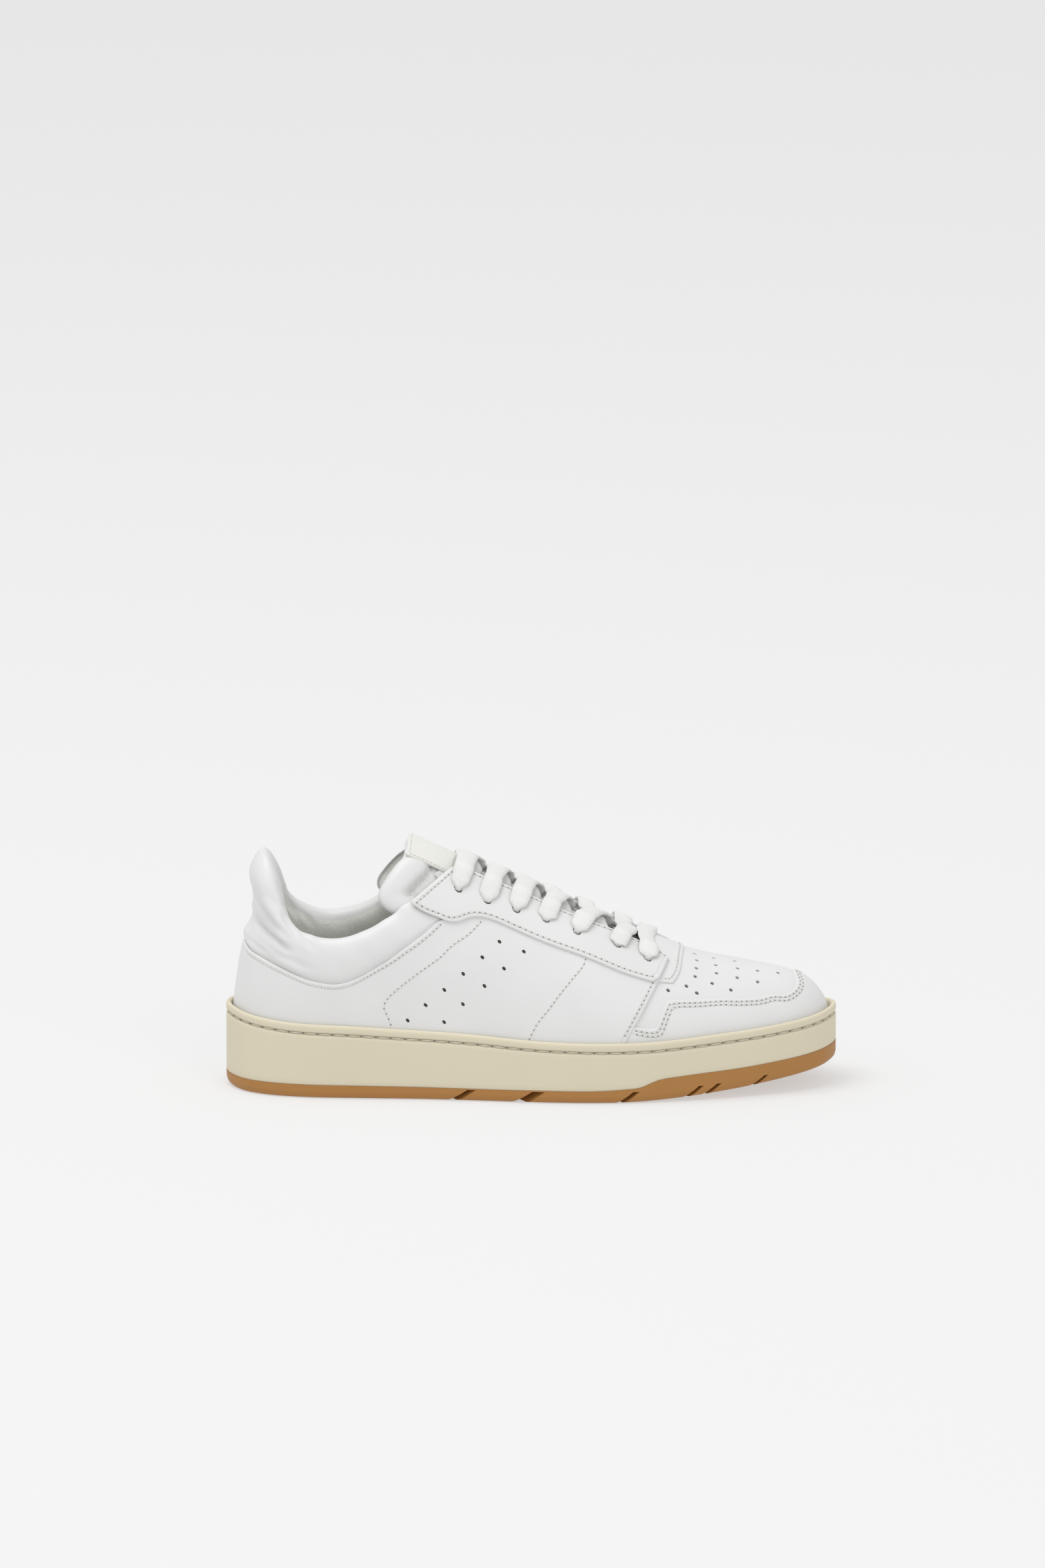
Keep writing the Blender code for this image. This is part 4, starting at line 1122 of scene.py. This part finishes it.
def make_tongue():
    """The tongue: leather outside, looped cloth inside and a padded roll round its top."""
    half = [on_ridge(91), *side_line((89.6, 120.5), (85, 115.5), (78.6, 107.6), (74.8, 101), (75.6, 95.6), (81, 91.4),
                                     (90, 88), (100, 85), (125, 80), (150, 73), (180, 66), (205, 60))]
    front = [half[-1], place(226, 55), on_ridge(229)]
    loop = flat_loop([half, front, *mirror_pattern([half, front])])
    bm = flat_sheet(loop, (0.2, 0.5, 0.9, 1.4), 1.5)
    verts, xy, is_top = thicken(bm)
    d = distance_to(xy, loop)
    high = np.clip((flatten(*on_ridge(122))[0][0] - xy[:, 0]) / 14, 0, 1)
    drop = 2.4 * (1 - np.sqrt(np.clip(1 - (1 - np.clip(d / 2.6, 0, 1)) ** 2, 0, 1)))
    roll = 2.6 * np.sqrt(np.clip(1 - ((d - 6.3) / 6.3) ** 2, 0, 1)) - 1.1 * np.exp(-(((d - 12.6) / 0.8) ** 2))
    pad = roll * high - drop + 0.35 * np.sin(xy[:, 0] / 6.1) * np.sin(xy[:, 1] / 7.3) * high
    points, _ = raised(xy, np.where(is_top, TONGUE + pad, TONGUE))
    core = points + (12, 0, 0)
    core[:, 1] = RIDGE_Y(core[:, 0])
    core[:, 2] = RIDGE(points[:, 0]) - 50
    inwards = core - points
    inwards /= np.linalg.norm(inwards, axis=1, keepdims=True)
    thick = 3.6 + 2.4 * high * np.sqrt(np.clip(1 - (np.clip(d - 7, -7, 7) / 7) ** 2, 0, 1)) + high - drop
    for v, q in zip(verts, np.where(is_top[:, None], points, points + inwards * thick[:, None])):
        v.co = q
    top = {v for v, on_top in zip(verts, is_top) if on_top}
    for f in bm.faces:
        f.material_index = int(top.isdisjoint(f.verts))
    item = finish_mesh(bm, "tongue_pad", "soft leather", "tongue", ("tongue_shell", "tongue_foam", "tongue_lining"),
                       sharp=SMOOTH)
    item.data.materials.append(FINISHES["terry"])
    make_label()


def make_label():
    """The plain cloth label over the tongue's top."""
    tab = [[on_ridge(91.3), *side_line((90.2, 122), (88.9, 118.6))],
           side_line((88.9, 118.6), (97, 115), (105.5, 111.3), (112, 108.3)),
           [*side_line((112, 108.3)), on_ridge(116)]]
    loop = flat_loop([*tab, *mirror_pattern(tab)])
    unwrap(panel("tongue_label", loop, (TONGUE + 1.7, TONGUE + 3.0), "label", body="tongue"))
    stitches = Stitches()
    stitches.add(inset_line(loop, 1.3, loop[0], loop[len(loop) // 2]), TONGUE + 2.95, 2.0, 0.16)
    stitches.make("tongue_stitching", "thread", "tongue")


def unwrap(item):
    """UVs in millimetres along the piece's length and width."""
    layer = item.data.uv_layers.new(name="UVMap")
    for corner in item.data.loops:
        co = item.data.vertices[corner.vertex_index].co
        layer.data[corner.index].uv = (co.x / MM, co.y / MM)


UNDER = -4.2  # lift of the lace below the facing
NARROW = 3.5  # widths under this are inside an eyelet
LACE_CORNERS = 12
# (t, lift) of the lace from on the facing, over the tongue and under the other facing.
UPPER_RUN = ((0.664, 3.9), (0.69, 4.4), (0.75, 4.9), (0.81, 2.4), (0.875, 0.9), (0.94, 0.3), (1, 0.0), (0.94, -0.6),
             (0.875, -1.3), (0.81, -3.4), (0.77, -4.2), (0.69, -4.2), (0.664, -4.2))
LOWER_RUN = ((0.664, 3.9), (0.69, 4.4), (0.75, 4.9), (0.81, 1.6), (0.86, -1.6), (0.94, -2.4), (1, -2.6), (0.94, -3.1),
             (0.875, -3.5), (0.81, -4.1), (0.77, -4.2), (0.69, -4.2), (0.664, -4.2))
BAR = ((0.664, 3.9), (0.69, 4.4), (0.75, 4.9), (0.81, 3.0), (0.875, 1.7), (0.94, 1.3), (1, 1.1), (0.94, 1.3),
       (0.875, 1.7), (0.81, 3.0), (0.75, 4.9), (0.69, 4.4), (0.664, 3.9))


def lace_through(hole, side):
    """Stops up through an eyelet: (g, t, lift, width, thickness)."""
    g, t = hole
    return [(side * g, t, *stop) for stop in ((UNDER, 5.0, 1.4), (-2.4, 3.2, 2.0), (1.6, 3.2, 2.0), (3.4, 4.6, 1.7))]


def lace_across(start, end, side, run, wide):
    """Stops from one eyelet over the ridge to one on the other side."""
    stops, half, last = [], len(run) // 2, len(run) - 1
    (first_g, first), (last_g, second) = start, end
    for k, (t, lift) in enumerate(run):
        done = np.clip((t - first if k <= half else 2 - first - t) / (2 - first - second), 0.0, 1.0)
        here = side if k <= half else -side
        shown = lift > -4
        thick = 2.3 if shown and 1 < k < last - 1 else 1.6
        stops.append((here * (first_g + (last_g - first_g) * done), t, lift, wide if shown else 6.0, thick))
    return stops


def lace_path(wide):
    """Stops along the whole lace, from the tucked end on one side to that on the other."""
    holes = [place(s, z) for s, z in reversed(EYELETS)]
    climbs = []
    for here in (-1, 1):
        stops = []
        for start, end in zip(holes, holes[1:]):
            stops += lace_across(start, end, -here, (UPPER_RUN if here > 0 else LOWER_RUN)[::-1], wide)
            stops += lace_through(end, here)[::-1]
            here = -here
        g, t = holes[-1]
        stops += [(-here * (g - 0.006 * k), t + 0.03 * k, UNDER, 5.5, 1.4) for k in (1, 2, 3)]
        climbs.append(stops)
    bar = lace_across(holes[0], holes[0], 1, BAR, wide)
    return climbs[0][::-1] + lace_through(holes[0], 1) + bar + lace_through(holes[0], -1)[::-1] + climbs[1]


def make_lace():
    """One flat lace, laced criss-cross above a straight bar, with both ends tucked away."""
    wide = bpy.context.scene.court_shoe.lace_width
    path, per = lace_path(wide), 6
    stops = []
    for g, t, lift, width, thick in path:
        ahead = foot(g + 0.01, t) - foot(g - 0.01, t) if g >= 0 else foot(g - 0.01, t) - foot(g + 0.01, t)
        stops.append([*(foot(g, t) + outwards(g, t) * lift), *ahead / np.linalg.norm(ahead), width, thick])
    stops = open_spline(stops, per)
    length = np.concatenate([[0], np.cumsum(np.linalg.norm(np.diff(stops[:, :3], axis=0), axis=1))])
    inside = [stop[3] < NARROW for stop in path]
    eyelets = np.array([length[per * (k + 1)] for k in range(len(path) - 2) if inside[k] != inside[k + 1]])
    away = np.min(np.abs(length[:, None] - eyelets), axis=1)
    full = np.sqrt(np.clip(1 - (1 - np.clip(away / 5.0, 0, 1)) ** 2, 0, 1))
    widths = stops[:, 6]
    widths = np.where(widths > NARROW, 3.4 + (widths - 3.4) * full, widths)
    widths = widths * (1 + 0.05 * np.sin(length / 5.1) + 0.03 * np.sin(length / 2.3))
    turn = np.linspace(0, 2 * math.pi, LACE_CORNERS, endpoint=False)
    side, rise = (np.copysign(np.abs(a) ** power, a)[:, None]
                  for a, power in ((np.cos(turn), 0.72), (np.sin(turn), 0.9)))
    before, after = stops[np.r_[0, : len(stops) - 1], :3], stops[np.r_[1 : len(stops), -1], :3]
    along = after - before
    run = np.concatenate([[0.0], np.cumsum(np.linalg.norm(along, axis=1) / 2)])
    along /= np.linalg.norm(along, axis=1, keepdims=True)
    across = stops[:, 3:6] - along * np.sum(along * stops[:, 3:6], axis=1, keepdims=True)
    across /= np.linalg.norm(across, axis=1, keepdims=True)
    up = np.cross(along, across)
    sections = [stop[:3] + side * a * width / 2 + rise * b * stop[7] / 2
                for stop, a, b, width in zip(stops, across, up, widths)]
    item = finish_mesh(draw_out(sections), "lace", "lace", sharp=SMOOTH)
    layer = item.data.uv_layers.new(name="UVMap").data
    for corner in item.data.loops:
        k, j = divmod(corner.vertex_index, LACE_CORNERS)
        layer[corner.index].uv = (run[k], math.cos(turn[j]) * wide / 2)


# ---------------------------------------------------------------- stage


def make_stage(p):
    f = Finish("studio_paper", 0.95, Specular_IOR_Level=0.1)
    f.shader.inputs["Base Color"].default_value = rgb(p.paper)
    f.shader.inputs["Emission Color"].default_value = (1, 1, 1, 1)
    f.shader.inputs["Emission Strength"].default_value = p.paper_glow
    bm = bmesh.new()
    edge_at = bm.edges.new([bm.verts.new(q) for q in ((-6, -6, 0), (6, -6, 0))])
    bend = [(0.12 * math.cos(a), 0.12 * math.sin(a)) for a in np.linspace(0.1, math.pi / 2, 12)]
    for dy, dz in ((11.0, 0.0), *bend, (0, 5)):
        made = bmesh.ops.extrude_edge_only(bm, edges=[edge_at])["geom"]
        verts = [q for q in made if isinstance(q, bmesh.types.BMVert)]
        bmesh.ops.translate(bm, verts=verts, vec=(0, dy, dz))
        edge_at = next(q for q in made if isinstance(q, bmesh.types.BMEdge) and all(v in verts for v in q.verts))
    bmesh.ops.recalc_face_normals(bm, faces=bm.faces)
    mesh = bpy.data.meshes.new("studio_floor")
    bm.to_mesh(mesh)
    bm.free()
    floor = bpy.data.objects.new("studio_floor", mesh)
    mesh.materials.append(f.material)
    bpy.context.scene.collection.objects.link(floor)
    scene = bpy.context.scene
    world = bpy.data.worlds.new("studio")
    world.use_nodes = True
    shade = world.node_tree.nodes["Background"]
    shade.inputs["Color"].default_value = (1, 1, 1, 1)
    shade.inputs["Strength"].default_value = p.room_light
    scene.world = world
    for name, spot, aim, size, power in (
        ("overhead_softbox", (-1.2, -0.6, 4.0), (0, 0, 0), 2.6, p.softbox),
        ("front_fill", (1.6, -3.6, 2.0), (0, 0, 0.04), 2.0, p.softbox * 0.3),
    ):
        light = bpy.data.lights.new(name, "AREA")
        light.energy, light.size = power, size
        lamp = bpy.data.objects.new(name, light)
        lamp.location = spot
        lamp.rotation_euler = (Vector(aim) - Vector(spot)).to_track_quat("-Z", "Y").to_euler()
        scene.collection.objects.link(lamp)
    lens = bpy.data.cameras.new("camera")
    lens.clip_end = 50.0
    lens.lens, lens.sensor_fit, lens.sensor_height, lens.sensor_width = 300.0, "VERTICAL", 36.0, 24.0
    camera = bpy.data.objects.new("camera", lens)
    scene.collection.objects.link(camera)
    scene.camera = camera
    aim_camera(camera, p)
    scene.view_settings.view_transform = "Standard"


def aim_camera(camera, p):
    """Looks at the shoe's side from a little above, with the shoe low in the frame."""
    middle = Vector((-0.0003 + p.camera_side, 0, 0.06))
    up = math.radians(p.camera_rise)
    camera.location = middle + Vector((0, -math.cos(up), math.sin(up))) * p.camera_distance
    camera.rotation_euler = (math.pi / 2 - up + math.radians(p.camera_drop), 0, math.radians(p.camera_turn))


# ---------------------------------------------------------------- add-on


def colour(name, description, default):
    return bpy.props.FloatVectorProperty(
        name=name, description=description, default=default, subtype="COLOR", size=3, min=0.0, max=1.0)


def number(name, description, default, **more):
    return bpy.props.FloatProperty(name=name, description=description, default=default, **more)


class ShoeSettings(bpy.types.PropertyGroup):
    leather: colour("Leather", "Colour of the upper's leather", (0.735, 0.735, 0.732))
    rubber: colour("Cupsole", "Colour of the sidewall's rubber", (0.69, 0.63, 0.475))
    gum: colour("Gum", "Colour of the outsole's rubber", (0.41, 0.193, 0.051))
    lace: colour("Lace", "Colour of the cotton lace", (0.95, 0.95, 0.93))
    thread: colour("Thread", "Colour of the sewing thread", (0.76, 0.76, 0.73))
    lining: colour("Lining", "Colour of the lining cloths", (0.88, 0.89, 0.83))
    lace_width: number("Lace width", "Width of the flat lace in millimetres", 9.6, min=5.0, max=11.0)


class StudioSettings(bpy.types.PropertyGroup):
    paper: colour("Paper", "Colour of the floor and backdrop", (0.35, 0.35, 0.35))
    paper_glow: number("Paper glow", "Light that the paper gives back", 0.49)
    room_light: number("Room light", "Strength of the even light", 0.70)
    softbox: number("Softbox", "Power of the overhead light", 82.0, unit="POWER")
    camera_rise: number("Rise", "Degrees the camera stands above", 12.0)
    camera_distance: number("Distance", "From the shoe's middle to the camera", 6.422, unit="LENGTH")
    camera_drop: number("Drop", "Degrees from the frame's centre down to the shoe", 0.783)
    camera_side: number("Side", "Sideways move of the camera", -0.004, unit="LENGTH", precision=4)
    camera_turn: number("Turn", "Degrees the camera turns", 0.0)


class BuildPiece:
    bl_options = {"REGISTER", "UNDO"}

    def execute(self, context):
        if not FINISHES:
            FINISHES.update(make_finishes(context.scene.court_shoe))
        self.make()
        return {"FINISHED"}


class SHOE_OT_sole(BuildPiece, bpy.types.Operator):
    """Makes the gum outsole, the cupsole with its stitching, and the insole"""
    bl_idname, bl_label, make = "shoe.sole", "Sole", staticmethod(make_sole)


class SHOE_OT_upper(BuildPiece, bpy.types.Operator):
    """Makes the upper's leather panels, linings and stiffeners with their stitches"""
    bl_idname, bl_label, make = "shoe.upper", "Upper", staticmethod(make_upper)


class SHOE_OT_collar(BuildPiece, bpy.types.Operator):
    """Makes the padded collar"""
    bl_idname, bl_label, make = "shoe.collar", "Collar", staticmethod(make_collar)


class SHOE_OT_tongue(BuildPiece, bpy.types.Operator):
    """Makes the padded tongue and its label"""
    bl_idname, bl_label, make = "shoe.tongue", "Tongue", staticmethod(make_tongue)


class SHOE_OT_lace(BuildPiece, bpy.types.Operator):
    """Makes the lace"""
    bl_idname, bl_label, make = "shoe.lace", "Lace", staticmethod(make_lace)


class SHOE_OT_cad_finishes(BuildPiece, bpy.types.Operator):
    """Gives the wedge, which keeps its engineering shape, its foam"""
    bl_idname, bl_label, make = "shoe.cad_finishes", "Hidden pieces", staticmethod(finish_wedge)


class SHOE_OT_stage(bpy.types.Operator):
    """Makes the paper floor, the lights and the camera"""
    bl_idname, bl_label = "shoe.stage", "Stage"

    def execute(self, context):
        make_stage(context.scene.court_shoe_studio)
        return {"FINISHED"}


PIECES = (
    SHOE_OT_stage, SHOE_OT_sole, SHOE_OT_upper, SHOE_OT_collar, SHOE_OT_tongue, SHOE_OT_lace, SHOE_OT_cad_finishes,
)


class SHOE_PT_panel(bpy.types.Panel):
    bl_label, bl_idname = "Court Shoe", "SHOE_PT_panel"
    bl_space_type, bl_region_type, bl_category = "VIEW_3D", "UI", "Court Shoe"

    def draw(self, context):
        for settings in (context.scene.court_shoe, context.scene.court_shoe_studio):
            for key in settings.__annotations__:
                self.layout.prop(settings, key)
        for piece in PIECES:
            self.layout.operator(piece.bl_idname)


CLASSES = (ShoeSettings, StudioSettings, *PIECES, SHOE_PT_panel)


def register():
    for cls in CLASSES:
        bpy.utils.register_class(cls)
    bpy.types.Scene.court_shoe = bpy.props.PointerProperty(type=ShoeSettings)
    bpy.types.Scene.court_shoe_studio = bpy.props.PointerProperty(type=StudioSettings)


def unregister():
    del bpy.types.Scene.court_shoe_studio
    del bpy.types.Scene.court_shoe
    for cls in reversed(CLASSES):
        bpy.utils.unregister_class(cls)


def main():
    register()
    bpy.ops.shoe.stage()
    bpy.ops.shoe.sole()
    bpy.ops.shoe.upper()
    bpy.ops.shoe.collar()
    bpy.ops.shoe.tongue()
    bpy.ops.shoe.lace()
    bpy.ops.shoe.cad_finishes()


if __name__ == "__main__":
    main()
